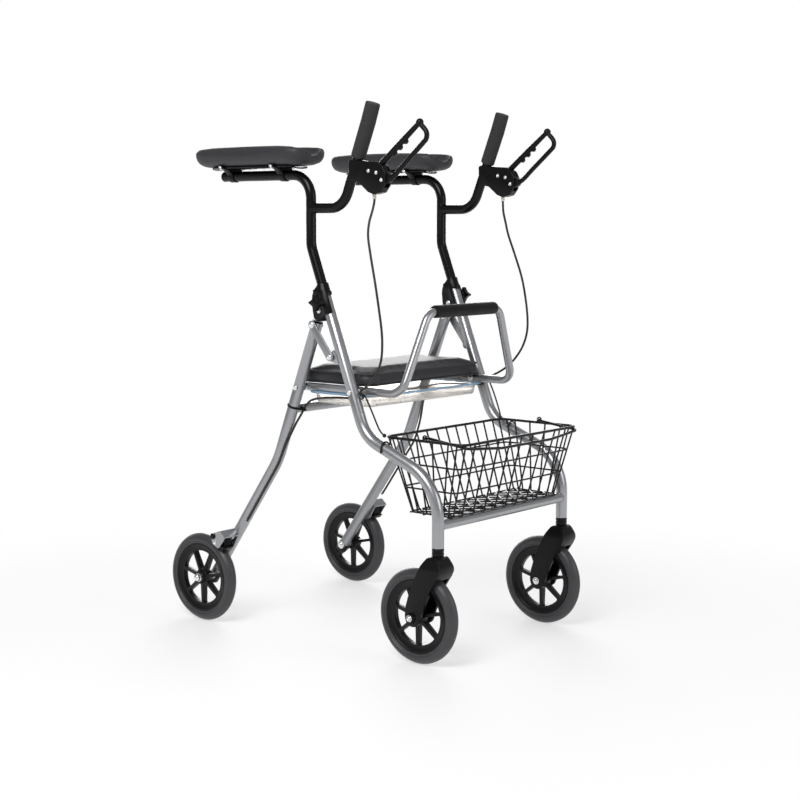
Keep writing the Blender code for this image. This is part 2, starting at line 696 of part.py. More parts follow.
def build_rear_frame(builder):
    """Makes the rear legs, with their axle bosses and top bolts, and the tube that joins them."""
    x = LEG_HALF_TRACK
    top_direction = (side(*LINK_TOP, x) - side(*REAR_PIVOT, x)).normalized()
    top = side(*LINK_TOP, x) + top_direction * REAR_LEG_TOP_REACH
    axle = side(REAR_AXLE_Y, WHEEL_RADIUS, x)
    foot_direction = (axle - side(*REAR_LEG_KNEE, x)).normalized()
    foot = axle + foot_direction * REAR_LEG_END_REACH
    tube = sweep(filleted([top, side(*REAR_LEG_KNEE, x), foot], (REAR_KNEE_BEND,)), LEG_RADIUS)
    boss = cylinder(0.0105, x, REAR_WHEEL_HALF_TRACK - HUB_WIDTH / 2 - RUNNING, axle.y, axle.z, 10)
    inner_boss = cylinder(0.0105, x - LEG_FACE, x, axle.y, axle.z, 10)
    bolt = revolve([(0.0045, x - LEG_RADIUS - 0.0055), (0.0075, x - LEG_RADIUS - 0.003),
                    (0.0075, x - LEG_RADIUS + 0.002), (0.0065, x), (0.0065, LINK_INNER_X - 0.0006)], 10)
    moved(bolt, (0, *LINK_TOP))
    axle_bore = cylinder(AXLE_RADIUS + GAP, x - 0.04, x + 0.05, axle.y, axle.z, 10)
    pivot_bore = cylinder(PIVOT_RADIUS + RUNNING, x - 0.03, x + 0.03, *REAR_PIVOT, 10)
    leg = combined(tube, [boss, inner_boss, bolt], [axle_bore, pivot_bore])
    builder.pair("rear_leg", leg, "silver")
    reach = x - LEG_FACE - GAP
    cross_y = rear_axis_y(REAR_CROSS_Z)
    builder.place("rear_cross_tube", bar((-reach, cross_y, REAR_CROSS_Z), (reach, cross_y, REAR_CROSS_Z),
                                         REAR_CROSS_RADIUS), "silver")


def build_links(builder):
    """Makes the short links between the front legs and the tops of the rear legs."""
    low = LINK_INNER_X
    high = LINK_INNER_X + LINK_THICKNESS
    plate = extruded(capsule(LINK_FOOT, LINK_TOP, LINK_HALF_WIDTH), low, high, bevel=0.0008)
    hole = cylinder(LINK_PIN_RADIUS + RUNNING, low - 0.01, high + 0.01, *LINK_FOOT, 10)
    eye = cylinder(LINK_PIN_RADIUS, low - 0.01, high + 0.01, *LINK_TOP, 10)
    link = combined(plate, [], [hole, eye])
    builder.pair("fold_link", link, "silver", (low, *LINK_FOOT))


def build_seat(builder):
    """Makes the seat frame with its folding loop, the loop's foam grip, the cushion and the tray."""
    x = SEAT_TUBE_X
    z = SEAT_TUBE_Z
    top_x, top_y, top_z = LOOP_TOP
    half = [(x, REAR_PIVOT[0] + SEAT_TUBE_REAR, z), (x, LOOP_FRONT_Y, z), (top_x, top_y, top_z)]
    corners = half + [(-px, py, pz) for px, py, pz in reversed(half)]
    radii = (LOOP_LOW_BEND, LOOP_TOP_BEND, LOOP_TOP_BEND, LOOP_LOW_BEND)
    tube = sweep(filleted(corners, radii, math.radians(27)), SEAT_TUBE_RADIUS)
    pins = []
    holes = []
    for sign in (1, -1):
        outer = LEG_HALF_TRACK + LEG_FACE + RUNNING
        collar = LEG_HALF_TRACK - LEG_FACE - RUNNING
        steps = ((0.008, x), (0.008, collar), (PIVOT_RADIUS, collar), (PIVOT_RADIUS, outer), (0.008, outer),
                 (0.0045, outer + 0.0035))
        pin = revolve([(r, sign * reach) for r, reach in steps], 10)
        pins.append(moved(pin, (0, *REAR_PIVOT)))
        holes.append(cylinder(PIVOT_RADIUS + RUNNING, sign * x - 0.03, sign * x + 0.03, *SEAT_PIVOT, 10))
    frame = combined(tube, pins, holes)
    builder.place("seat_frame", frame, "silver", (0, *SEAT_PIVOT))
    grip_half = LOOP_GRIP_LENGTH / 2
    bore = clear_of(SEAT_TUBE_RADIUS + GAP, GRIP_SIDES)
    grip = revolve([(bore, -grip_half), (LOOP_GRIP_RADIUS * 0.92, -grip_half),
                    (LOOP_GRIP_RADIUS, -grip_half + 0.003), (LOOP_GRIP_RADIUS, grip_half - 0.003),
                    (LOOP_GRIP_RADIUS * 0.92, grip_half), (bore, grip_half)], GRIP_SIDES, closed=True)
    builder.place("loop_grip", moved(grip, (0, top_y, top_z)), "foam", (0, top_y, top_z))
    build_cushion(builder)
    build_tray(builder)


def build_cushion(builder):
    """Makes the seat cushion: crowned on top, drawn in between its corners, flat underneath."""
    bottom = SEAT_TUBE_Z + SEAT_TUBE_RADIUS + GAP
    middle_y = (CUSHION_FRONT_Y + CUSHION_REAR_Y) / 2
    half_y = (CUSHION_REAR_Y - CUSHION_FRONT_Y) / 2
    across = 12
    along = 6
    levels = [(0.0, 0.985), (0.15, 1.0), (0.80, 1.0), (1.0, 0.965)]
    mesh = bmesh.new()
    outline = [(-1 + 2 * i / across, -1) for i in range(across)]
    outline += [(1, -1 + 2 * i / along) for i in range(along)]
    outline += [(1 - 2 * i / across, 1) for i in range(across)]
    outline += [(-1, 1 - 2 * i / along) for i in range(along)]
    corner = 0.030
    rings = []
    for height, inset in levels:
        ring = []
        for u, v in outline:
            px = u * CUSHION_HALF_WIDTH
            py = v * half_y
            over_x = max(0.0, abs(px) - (CUSHION_HALF_WIDTH - corner))
            over_y = max(0.0, abs(py) - (half_y - corner))
            if over_x > 0 and over_y > 0:
                away = math.hypot(over_x, over_y)
                reach = max(over_x, over_y)
                px = math.copysign(CUSHION_HALF_WIDTH - corner + over_x / away * reach, px)
                py = math.copysign(half_y - corner + over_y / away * reach, py)
            waist = math.sin(math.pi * min(1.0, height)) * CUSHION_DRAW_IN
            px -= math.copysign(waist * (1 - v * v), px) * (abs(u) == 1)
            py -= math.copysign(waist * (1 - u * u), py) * (abs(v) == 1)
            ring.append(mesh.verts.new((px * inset, middle_y + py * inset, bottom + CUSHION_THICKNESS * height)))
        rings.append(ring)
    for a, b in zip(rings, rings[1:]):
        for i in range(len(a)):
            j = (i + 1) % len(a)
            mesh.faces.new((a[i], a[j], b[j], b[i]))
    mesh.faces.new(list(reversed(rings[0])))
    top = grid_fill(mesh, rings[-1], across, along)
    for vert, u, v in top:
        vert.co.z += CUSHION_CROWN * (1 - u ** 4) * (1 - v ** 4)
    bmesh.ops.recalc_face_normals(mesh, faces=mesh.faces)
    builder.place("seat_cushion", mesh, "vinyl", (0, middle_y, bottom))


def grid_fill(mesh, ring, across, along):
    """Fills a ring of 2 * (across + along) vertices with a grid, and returns its inner vertices."""
    rows = []
    inner = []
    for j in range(along + 1):
        row = []
        for i in range(across + 1):
            if j == 0:
                row.append(ring[i])
            elif i == across:
                row.append(ring[across + j])
            elif j == along:
                row.append(ring[2 * across + along - i])
            elif i == 0:
                row.append(ring[2 * across + 2 * along - j])
            else:
                left = ring[2 * across + 2 * along - j].co
                right = ring[across + j].co
                low = ring[i].co
                high = ring[2 * across + along - i].co
                s = i / across
                t = j / along
                point = Vector((low.x * (1 - t) + high.x * t, left.y * (1 - s) + right.y * s, left.z))
                vert = mesh.verts.new(point)
                inner.append((vert, 2 * s - 1, 2 * t - 1))
                row.append(vert)
        rows.append(row)
    for j in range(along):
        for i in range(across):
            mesh.faces.new((rows[j][i], rows[j][i + 1], rows[j + 1][i + 1], rows[j + 1][i]))
    return inner


def rounded_rectangle(x, y_low, y_high, z, radius, count=4):
    """Returns the points of a rounded rectangle at one height, counter-clockwise from above."""
    points = []
    for cx, cy, start in ((x - radius, y_high - radius, 0), (-x + radius, y_high - radius, 1),
                          (-x + radius, y_low + radius, 2), (x - radius, y_low + radius, 3)):
        for i in range(count + 1):
            angle = math.pi / 2 * (start + i / count)
            points.append(Vector((cx + radius * math.cos(angle), cy + radius * math.sin(angle), z)))
    return points


def build_tray(builder):
    """Makes the clear tray that hangs under the seat frame by four hooks."""
    top = SEAT_TUBE_Z - SEAT_TUBE_RADIUS - GAP
    floor = top - TRAY_DEPTH
    wall = TRAY_WALL
    sections = [
        (TRAY_HALF_WIDTH, TRAY_FRONT_Y, TRAY_REAR_Y, top, 0.020),
        (TRAY_HALF_WIDTH, TRAY_FRONT_Y, TRAY_REAR_Y, top - wall, 0.020),
        (TRAY_HALF_WIDTH - TRAY_LIP, TRAY_FRONT_Y + TRAY_LIP, TRAY_REAR_Y - TRAY_LIP, top - wall, 0.018),
        (TRAY_HALF_WIDTH - TRAY_LIP - 0.006, TRAY_FRONT_Y + TRAY_LIP + 0.006, TRAY_REAR_Y - TRAY_LIP - 0.006,
         floor + 0.005, 0.018),
        (TRAY_HALF_WIDTH - TRAY_LIP - 0.012, TRAY_FRONT_Y + TRAY_LIP + 0.012, TRAY_REAR_Y - TRAY_LIP - 0.012,
         floor, 0.016),
        (TRAY_HALF_WIDTH - TRAY_LIP - 0.012, TRAY_FRONT_Y + TRAY_LIP + 0.012, TRAY_REAR_Y - TRAY_LIP - 0.012,
         floor + wall, 0.014),
        (TRAY_HALF_WIDTH - TRAY_LIP - 0.006 - wall, TRAY_FRONT_Y + TRAY_LIP + 0.006 + wall,
         TRAY_REAR_Y - TRAY_LIP - 0.006 - wall, floor + wall + 0.004, 0.014),
        (TRAY_HALF_WIDTH - TRAY_LIP - wall, TRAY_FRONT_Y + TRAY_LIP + wall, TRAY_REAR_Y - TRAY_LIP - wall, top,
         0.016),
    ]
    mesh = bmesh.new()
    rings = []
    for x, y_low, y_high, z, radius in sections:
        rings.append([mesh.verts.new(p) for p in rounded_rectangle(x, y_low, y_high, z, radius, 2)])
    count = len(rings[0])
    order = list(zip(rings, rings[1:])) + [(rings[-1], rings[0])]
    for index, (a, b) in enumerate(order):
        if index == 4:
            continue
        for i in range(count):
            j = (i + 1) % count
            mesh.faces.new((a[i], a[j], b[j], b[i]))
    mesh.faces.new(rings[4])
    mesh.faces.new(rings[5])
    bmesh.ops.recalc_face_normals(mesh, faces=mesh.faces)
    hooks = []
    tube = (SEAT_TUBE_X, SEAT_TUBE_Z)
    inner = clear_of(SEAT_TUBE_RADIUS + GAP, 12)
    outer = inner + 0.002
    for sign in (1, -1):
        for y in (TRAY_FRONT_Y + 0.055, TRAY_REAR_Y - 0.045):
            hook = bmesh.new()
            rows = []
            for step in range(6):
                angle = math.radians(-95 - 135 * step / 5)
                row = []
                for radius, shift in ((inner, 0), (outer, 0), (outer, TRAY_CLIP_WIDTH), (inner, TRAY_CLIP_WIDTH)):
                    px = sign * (tube[0] + radius * math.cos(angle))
                    pz = tube[1] + radius * math.sin(angle)
                    row.append(hook.verts.new((px, y + shift, pz)))
                rows.append(row)
            bridge_rings(hook, rows)
            hooks.append(hook)
    builder.place("tray", combined(mesh, hooks), "clear")


def lever_housing_outline():
    """Returns the lever housing's outline in the side plane."""
    return [(0.2340, 1.0320), (0.2320, 0.9880), (0.2040, 0.9830), (0.1800, 0.9640), (0.1640, 0.9585),
            (0.1440, 0.9620), (0.1290, 0.9800), (0.1290, 1.0030), (0.1380, 1.0190), (0.1540, 1.0290),
            (0.1900, 1.0310), (0.2250, 1.0350)]


def build_arms(builder):
    """Makes the forearm support tubes with their welded handle branches, and the hand grips."""
    x = LEG_HALF_TRACK
    foot = side(leg_axis_y(ARM_TUBE_FOOT_Z), ARM_TUBE_FOOT_Z, x)
    bend_z = SEAT_PIVOT[1] + (ARM_BEND_Y - SEAT_PIVOT[0]) / math.tan(LEG_LEAN)
    corners = [foot, side(ARM_BEND_Y, bend_z, x), side(ARM_BEND_Y, PAD_TUBE_Z, x),
               side(PAD_TUBE_REAR_Y, PAD_TUBE_Z, x)]
    main = sweep(filleted(corners, (ARM_BEND, PAD_TUBE_BEND), math.radians(15)), ARM_RADIUS)
    grip_direction = (side(*GRIP_KINK, x) - side(*GRIP_FOOT, x)).normalized()
    down = (GRIP_FOOT[1] - BRANCH_Z) / grip_direction.z
    branch_corner = side(*GRIP_FOOT, x) - grip_direction * down
    top_reach = side(*GRIP_TOP, x) + (side(*GRIP_KINK, x) - side(*GRIP_TOP, x)).normalized() * 0.006
    branch_corners = [side(ARM_BEND_Y - 0.002, BRANCH_Z, x), branch_corner, side(*GRIP_KINK, x), top_reach]
    branch = sweep(filleted(branch_corners, (BRANCH_BEND, 0.060), math.radians(15)), ARM_RADIUS)
    builder.pair("arm_tube", combined(main, [branch]), "black_tube")
    grip_points = filleted([side(*GRIP_FOOT, x), side(*GRIP_KINK, x), side(*GRIP_TOP, x)], (0.060,))
    radii = [GRIP_RADIUS] * len(grip_points)
    grip = sweep(grip_points, radii, GRIP_SIDES)
    bore_points = filleted([side(*GRIP_FOOT, x) - grip_direction * 0.01, side(*GRIP_KINK, x),
                            top_reach - (side(*GRIP_KINK, x) - side(*GRIP_TOP, x)).normalized() * GAP], (0.060,))
    bore = sweep(bore_points, ARM_RADIUS + GAP)
    builder.pair("hand_grip", combined(grip, [], [bore]), "foam")


def build_levers(builder):
    """Makes the lever housings, clamped round the handle tubes, and the looped brake levers."""
    x = LEG_HALF_TRACK
    body = extruded(lever_housing_outline(), x - HOUSING_HALF_WIDTH, x + HOUSING_HALF_WIDTH, bevel=0.003)
    grip_direction = (side(*GRIP_KINK, x) - side(*GRIP_FOOT, x)).normalized()
    tube_bore = bar(side(*GRIP_FOOT, x) - grip_direction * 0.10, side(*GRIP_FOOT, x) + grip_direction * 0.02,
                    ARM_RADIUS + GAP)
    slot_half = LEVER_HALF_THICKNESS + RUNNING
    slot_outline = [(0.1830, 1.0500), (0.1200, 1.0500), (0.1100, 0.9770), (0.1400, 0.9740), (0.1700, 0.9790),
                    (0.1790, 0.9920), (0.1830, 1.0100)]
    slot = extruded(slot_outline, x - slot_half, x + slot_half)
    pin = cylinder(LEVER_PIN_RADIUS, x - HOUSING_HALF_WIDTH - 0.0012, x + HOUSING_HALF_WIDTH + 0.0012,
                   *LEVER_PIVOT, 8)
    ferrule = bar((x, 0.1700, 0.9530), (x, 0.1700, 0.9680), 0.0042, 8)
    pocket = extruded([(0.2600, 1.0300), (0.2600, 0.9700), (0.2100, 0.9700)], x - 0.001, x + 0.001)
    housing = combined(body, [], [slot, tube_bore, pocket])
    housing = combined(housing, [pin, ferrule])
    builder.pair("lever_housing", housing, "plastic")
    rear_arm = [side(y, z, x) for y, z in
                ((0.1560, 1.0180), (0.0995, 1.0635), (0.0605, 1.0945), (0.0558, 1.0983), (0.0511, 1.1020),
                 (0.0464, 1.1058), (0.0423, 1.1091))]
    front_arm = [side(y, z, x) for y, z in
                 ((0.0545, 1.0990), (0.0415, 1.0915), (0.0335, 1.0815), (0.0340, 1.0700), (0.0430, 1.0610),
                  (0.0890, 1.0220), (0.1130, 1.0010), (0.1330, 0.9890))]
    rear_bar = sweep(rear_arm, LEVER_REAR_RADII, 8)
    front_bar = sweep(front_arm, LEVER_ARM, 6)
    root = extruded([(0.1620, 0.9830), (0.1610, 1.0200), (0.1500, 1.0250), (0.1420, 1.0200), (0.1360, 1.0080),
                     (0.1240, 0.9990), (0.1240, 0.9870), (0.1420, 0.9790), (0.1560, 0.9780)],
                    x - LEVER_HALF_THICKNESS, x + LEVER_HALF_THICKNESS, bevel=0.001)
    teeth = []
    along = (rear_arm[2] - rear_arm[0]).normalized()
    under = Vector((0, along.z, -along.y)) * -1.0
    for index in range(LEVER_TEETH):
        middle = rear_arm[0] + along * (0.050 + index * 0.0135)
        corners = [middle - along * 0.005, middle - along * 0.002 + under * 0.0085, middle + along * 0.003
                   + under * 0.0078, middle + along * 0.006]
        teeth.append(extruded([(c.y, c.z) for c in corners], x - 0.0040, x + 0.0040))
    pin_bore = cylinder(LEVER_PIN_RADIUS + RUNNING, x - 0.02, x + 0.02, *LEVER_PIVOT, 8)
    lever = combined(rear_bar, [front_bar, root] + teeth, [pin_bore])
    builder.pair("brake_lever", lever, "plastic", (x, *LEVER_PIVOT))


def gutter(share, scale=1.0):
    """Returns the offset across and the rise of a pad's underside, at a share of its half width.

    The underside is straight between its sample points, so that what lies under it can follow it.
    """
    def sample(k):
        part = k / PAD_FACETS
        return (PAD_HALF_WIDTH * math.sin(part * math.pi / 2), PAD_RISE * part ** 2.2)

    index = min(int(abs(share) * PAD_FACETS), PAD_FACETS - 1)
    blend = abs(share) * PAD_FACETS - index
    low = sample(index)
    high = sample(index + 1)
    across = low[0] + (high[0] - low[0]) * blend
    rise = low[1] + (high[1] - low[1]) * blend
    return math.copysign(across * scale, share), rise


def pad_mesh():
    """Returns a forearm pad: a padded gutter with rounded ends, thick below and thin at its rims."""
    pad = bmesh.new()
    rings = []
    for t in PAD_STATIONS:
        end = abs(t) * PAD_LENGTH / 2
        over = max(0.0, end - (PAD_LENGTH / 2 - PAD_HALF_WIDTH))
        scale = max(PAD_END_SHARE, math.sqrt(max(0.0, 1 - (over / PAD_HALF_WIDTH) ** 2)))
        base = PAD_CENTRE_Z + PAD_END_LIFT * (1 - scale)
        body = PAD_THICKNESS * (0.55 + 0.45 * scale)
        fall = 1 - PAD_RIM_FALL * (1 - scale)
        outline = []
        for i in range(-PAD_FACETS, PAD_FACETS + 1):
            across, rise = gutter(i / PAD_FACETS, scale)
            outline.append((across, base + rise * fall))
        for i in range(PAD_FACETS - 1, -PAD_FACETS, -1):
            across, rise = gutter(i / PAD_FACETS, scale)
            height = body + rise * fall * (1 - body * 0.35 / PAD_RISE)
            outline.append((across * PAD_HOLLOW_SHARE, base + height))
        y = PAD_MIDDLE_Y + math.copysign(end, t)
        rings.append([pad.verts.new((LEG_HALF_TRACK + across, y, z)) for across, z in outline])
    return bridge_rings(pad, rings)


def carrier_mesh():
    """Returns the moulded shell under a pad, with its two V-shaped brackets round the tube."""
    x = LEG_HALF_TRACK
    top = PAD_CENTRE_Z - PAD_SEAT
    shell = bmesh.new()
    rings = []
    for reach, scale, drop in ((-1.0, SHELL_END_SHARE, SHELL_DROP), (-0.85, SHELL_SHARE, 0),
                               (0.85, SHELL_SHARE, 0), (1.0, SHELL_END_SHARE, SHELL_DROP)):
        y = PAD_MIDDLE_Y + reach * (PAD_LENGTH / 2 - SHELL_SETBACK)
        upper = []
        for i in range(-3, 4):
            across, rise = gutter(i / 3 * scale)
            upper.append((across, top + rise - drop))
        outline = [(across * 1.02, z - SHELL_WALL) for across, z in upper] + upper[::-1]
        rings.append([shell.verts.new((x + across, y, z)) for across, z in outline])
    bridge_rings(shell, rings)
    brackets = []
    bores = []
    for y in BRACKET_Y:
        outline = []
        for share in (-BRACKET_SHARE, -0.5, -0.25, 0, 0.25, 0.5, BRACKET_SHARE):
            across, rise = gutter(share)
            outline.append((across, top + rise - SHELL_WALL * 0.55))
        tip_across, tip_rise = gutter(BRACKET_SHARE)
        tip_low = top + tip_rise - SHELL_WALL - ARM_DEPTH
        turns = [math.radians(a) for a in (25, -10, -45, -80, -100, -135, -170, -205)]
        around = [(BRACKET_RING * math.cos(a), PAD_TUBE_Z + BRACKET_RING * math.sin(a)) for a in turns]
        outline += [(tip_across * 1.03, tip_low)] + around + [(-tip_across * 1.03, tip_low)]
        bracket = bmesh.new()
        rows = [[bracket.verts.new((x + across, y + shift, z)) for across, z in outline]
                for shift in (-BRACKET_WIDTH / 2, BRACKET_WIDTH / 2)]
        brackets.append(bridge_rings(bracket, rows))
        bores.append(bar((x, y - BRACKET_WIDTH, PAD_TUBE_Z), (x, y + BRACKET_WIDTH, PAD_TUBE_Z),
                         ARM_RADIUS + GAP))
    return combined(shell, brackets, bores)


def build_pads(builder):
    """Makes the forearm pads and the moulded carriers that clamp them on the support tubes."""
    builder.pair("arm_pad", pad_mesh(), "vinyl", (LEG_HALF_TRACK, PAD_MIDDLE_Y, PAD_CENTRE_Z))
    builder.pair("pad_carrier", carrier_mesh(), "plastic", (LEG_HALF_TRACK, PAD_MIDDLE_Y, PAD_TUBE_Z))


def clamp_mesh():
    """Returns the clamp: a sleeve on the leg's top, a collar open at the inner front, and a rear block."""
    x = LEG_HALF_TRACK
    foot = side(leg_axis_y(0.66), 0.66, x)
    split = side(leg_axis_y(CLAMP_SPLIT_Z), CLAMP_SPLIT_Z, x)
    top = side(leg_axis_y(CLAMP_TOP_Z), CLAMP_TOP_Z, x)
    head = side(leg_axis_y(0.80), 0.80, x)
    collar_foot = side(leg_axis_y(CLAMP_COLLAR_Z), CLAMP_COLLAR_Z, x)
    collar_top = side(leg_axis_y(CLAMP_SPLIT_Z + 0.003), CLAMP_SPLIT_Z + 0.003, x)
    collar = bar(collar_foot, collar_top, LEG_RADIUS + CLAMP_WALL, 12)
    sleeve = bar(side(leg_axis_y(0.7550), 0.7550, x), top, ARM_RADIUS + SLEEVE_WALL, 12)
    outline = [(leg_axis_y(0.7700) + 0.004, 0.7700), (0.3245, 0.7690), (0.3315, 0.7610), (0.3355, 0.7500),
               (0.3362, 0.7400), (0.3345, 0.7200), (0.3305, 0.7010), (0.3200, 0.6955), (0.3120, 0.6955),
               (leg_axis_y(0.7060) + 0.009, 0.7060), (leg_axis_y(0.7120), 0.7120)]
    block = extruded(outline, x - LEG_RADIUS, x + LEG_RADIUS, bevel=0.0025)
    opening = []
    for z, reach in ((0.690, -0.030), (0.690, -0.003), (0.7530, -0.003), (0.7530, -0.030)):
        opening.append((leg_axis_y(z) + reach, z))
    mouth = extruded(opening, x - 0.03, x + 0.0070)
    leg_bore = bar(foot, split, LEG_RADIUS + GAP, TUBE_SIDES)
    arm_bore = bar(foot, head, ARM_RADIUS + GAP * 2, TUBE_SIDES)
    boss = cylinder(0.0085, x + LEG_RADIUS - 0.004, x + KNOB_BOSS_REACH, *KNOB_CENTRE, 8)
    stud_bore = cylinder(0.0034 + GAP, x + LEG_RADIUS + 0.0012, x + KNOB_BOSS_REACH + 0.01, *KNOB_CENTRE, 10)
    return combined(block, [collar, sleeve, boss], [mouth, leg_bore, arm_bore, stud_bore])


def build_clamps(builder):
    """Makes the moulded clamps on the front leg tops and their star knobs."""
    x = LEG_HALF_TRACK
    builder.pair("leg_clamp", clamp_mesh(), "plastic")
    base_x = x + KNOB_BOSS_REACH + GAP
    star = []
    for index in range(KNOB_LOBES * 4):
        angle = 2 * math.pi * index / (KNOB_LOBES * 4)
        radius = KNOB_RADIUS * (1.0, 0.60, 0.52, 0.60)[index % 4]
        star.append((KNOB_CENTRE[0] + radius * math.cos(angle), KNOB_CENTRE[1] + radius * math.sin(angle)))
    disc = extruded(star, base_x + KNOB_NECK, base_x + KNOB_NECK + KNOB_THICKNESS)
    neck = cylinder(0.0080, base_x, base_x + KNOB_NECK + 0.002, *KNOB_CENTRE, 8)
    stud = cylinder(0.0034, x + LEG_RADIUS + 0.0015, base_x + 0.003, *KNOB_CENTRE, 10)
    builder.pair("clamp_knob", combined(disc, [neck, stud]), "plastic", (base_x, *KNOB_CENTRE))


def build_brakes(builder):
    """Makes the folded brackets over the rear tyres and the shoes that press on them."""
    inner = BRAKE_INNER_X
    outer = BRAKE_OUTER_X
    sheet = BRAKE_SHEET
    foot = rear_foot_y(0.200)
    high = WHEEL_RADIUS + 0.117
    flange = [(foot - 0.0243, high), (foot - 0.0263, high - 0.021), (foot - 0.0203, high - 0.027),
              (foot + 0.0077, high - 0.027), (REAR_AXLE_Y - 0.0480, high - 0.022), (REAR_AXLE_Y - 0.0450, high)]
    outer_flange = [(REAR_AXLE_Y + y, high + z) for y, z in
                    ((-0.0940, 0), (-0.0940, -0.021), (-0.0800, -0.041), (-0.0640, -0.047), (-0.0500, -0.039),
                     (-0.0400, -0.013), (-0.0420, 0))]
    top = box((inner, REAR_AXLE_Y - 0.0950, high - sheet), (outer, REAR_AXLE_Y - 0.0450, high))
    near_plate = extruded(flange, inner, inner + sheet)
    far_plate = extruded(outer_flange, outer - sheet, outer)
    pin = cylinder(0.003, inner + sheet / 2, outer - sheet / 2, *SHOE_PIVOT, 10)
    tab = extruded([(foot - 0.0283, high + 0.013), (foot - 0.0383, high + 0.020), (foot - 0.0263, high - 0.021),
                    (foot - 0.0123, high - 0.021), (foot - 0.0123, high - 0.001)], inner, inner + sheet)
    bracket = combined(top, [near_plate, far_plate, pin, tab])
    builder.pair("brake_bracket", bracket, "silver")
    hub = (REAR_AXLE_Y, WHEEL_RADIUS)
    low = arc(hub, WHEEL_RADIUS + SHOE_STOP, SHOE_FROM, SHOE_TO, 5)
    high = arc(hub, WHEEL_RADIUS + SHOE_STOP + SHOE_THICKNESS, SHOE_TO, SHOE_FROM, 3)
    half = TYRE_WIDTH / 2 - 0.002
    middle = REAR_WHEEL_HALF_TRACK
    pad = extruded(low + high, middle - half, middle + half)
    boss = cylinder(0.0068, middle - half, middle + half, *SHOE_PIVOT, 10)
    arm = extruded([(SHOE_PIVOT[0] + y, SHOE_PIVOT[1] + z) for y, z in
                    ((0.0050, -0.0035), (-0.0040, 0.0050), (-0.0240, -0.0105), (-0.0280, -0.0235),
                     (-0.0150, -0.0235))], middle - half + 0.004, middle + half - 0.004)
    bore = cylinder(0.003 + RUNNING, middle - 0.03, middle + 0.03, *SHOE_PIVOT, 10)
    shoe = turned(combined(pad, [boss, arm], [bore]), "X", -SHOE_SWING, (0, *SHOE_PIVOT))
    builder.pair("brake_shoe", shoe, "plastic", (middle, *SHOE_PIVOT))


def wire_panel(corners, columns, rows, rim):
    """Returns a flat welded-wire panel as a plate with one opening for each mesh.

    corners are top-left, top-right, bottom-right and bottom-left, seen from outside.
    """
    top_left, top_right, bottom_right, bottom_left = (Vector(c) for c in corners)
    normal = (top_right - top_left).cross(bottom_left - top_left).normalized()
    mesh = bmesh.new()
    height = ((bottom_left - top_left).length + (bottom_right - top_right).length) / 2
    width = ((top_right - top_left).length + (bottom_right - bottom_left).length) / 2

    def at(s, t):
        return top_left.lerp(top_right, s).lerp(bottom_left.lerp(bottom_right, s), t)

    half = WIRE / 2
    s_cuts = [0.0, WIRE / width]
    for i in range(1, columns):
        middle = i / columns
        s_cuts += [middle - half / width, middle + half / width]
    s_cuts += [1 - WIRE / width, 1.0]
    t_cuts = [0.0, rim / height]
    for i in range(1, rows):
        middle = i / rows
        t_cuts += [middle - half / height, middle + half / height]
    t_cuts += [1 - WIRE / height, 1.0]
    last_s = len(s_cuts) - 1
    last_t = len(t_cuts) - 1
    sheets = []
    for offset in (-half, half):
        sheet = {}
        for j in range(last_t + 1):
            for i in range(last_s + 1):
                edge_only = (j in (0, last_t)) != (i in (0, last_s))
                if not edge_only:
                    sheet[j, i] = mesh.verts.new(at(s_cuts[i], t_cuts[j]) + normal * offset)
        sheets.append(sheet)
    back, front = sheets
    for j in range(1, last_t - 1):
        for i in range(1, last_s - 1):
            ring = ((j, i), (j, i + 1), (j + 1, i + 1), (j + 1, i))
            if i % 2 == 1 and j % 2 == 1:
                for a, b in zip(ring, ring[1:] + ring[:1]):
                    mesh.faces.new((front[a], front[b], back[b], back[a]))
            else:
                mesh.faces.new([front[k] for k in reversed(ring)])
                mesh.faces.new([back[k] for k in ring])
    strips = [
        [(0, 0), (0, last_s)] + [(1, i) for i in range(last_s - 1, 0, -1)],
        [(last_t, last_s), (last_t, 0)] + [(last_t - 1, i) for i in range(1, last_s)],
        [(last_t, 0), (0, 0)] + [(j, 1) for j in range(1, last_t)],
        [(0, last_s), (last_t, last_s)] + [(j, last_s - 1) for j in range(last_t - 1, 0, -1)],
    ]
    for strip in strips:
        mesh.faces.new([front[k] for k in strip])
        mesh.faces.new([back[k] for k in reversed(strip)])
    rim_loop = [(0, 0), (0, last_s), (last_t, last_s), (last_t, 0)]
    for a, b in zip(rim_loop, rim_loop[1:] + rim_loop[:1]):
        mesh.faces.new((front[a], front[b], back[b], back[a]))
    bmesh.ops.recalc_face_normals(mesh, faces=mesh.faces)
    return mesh


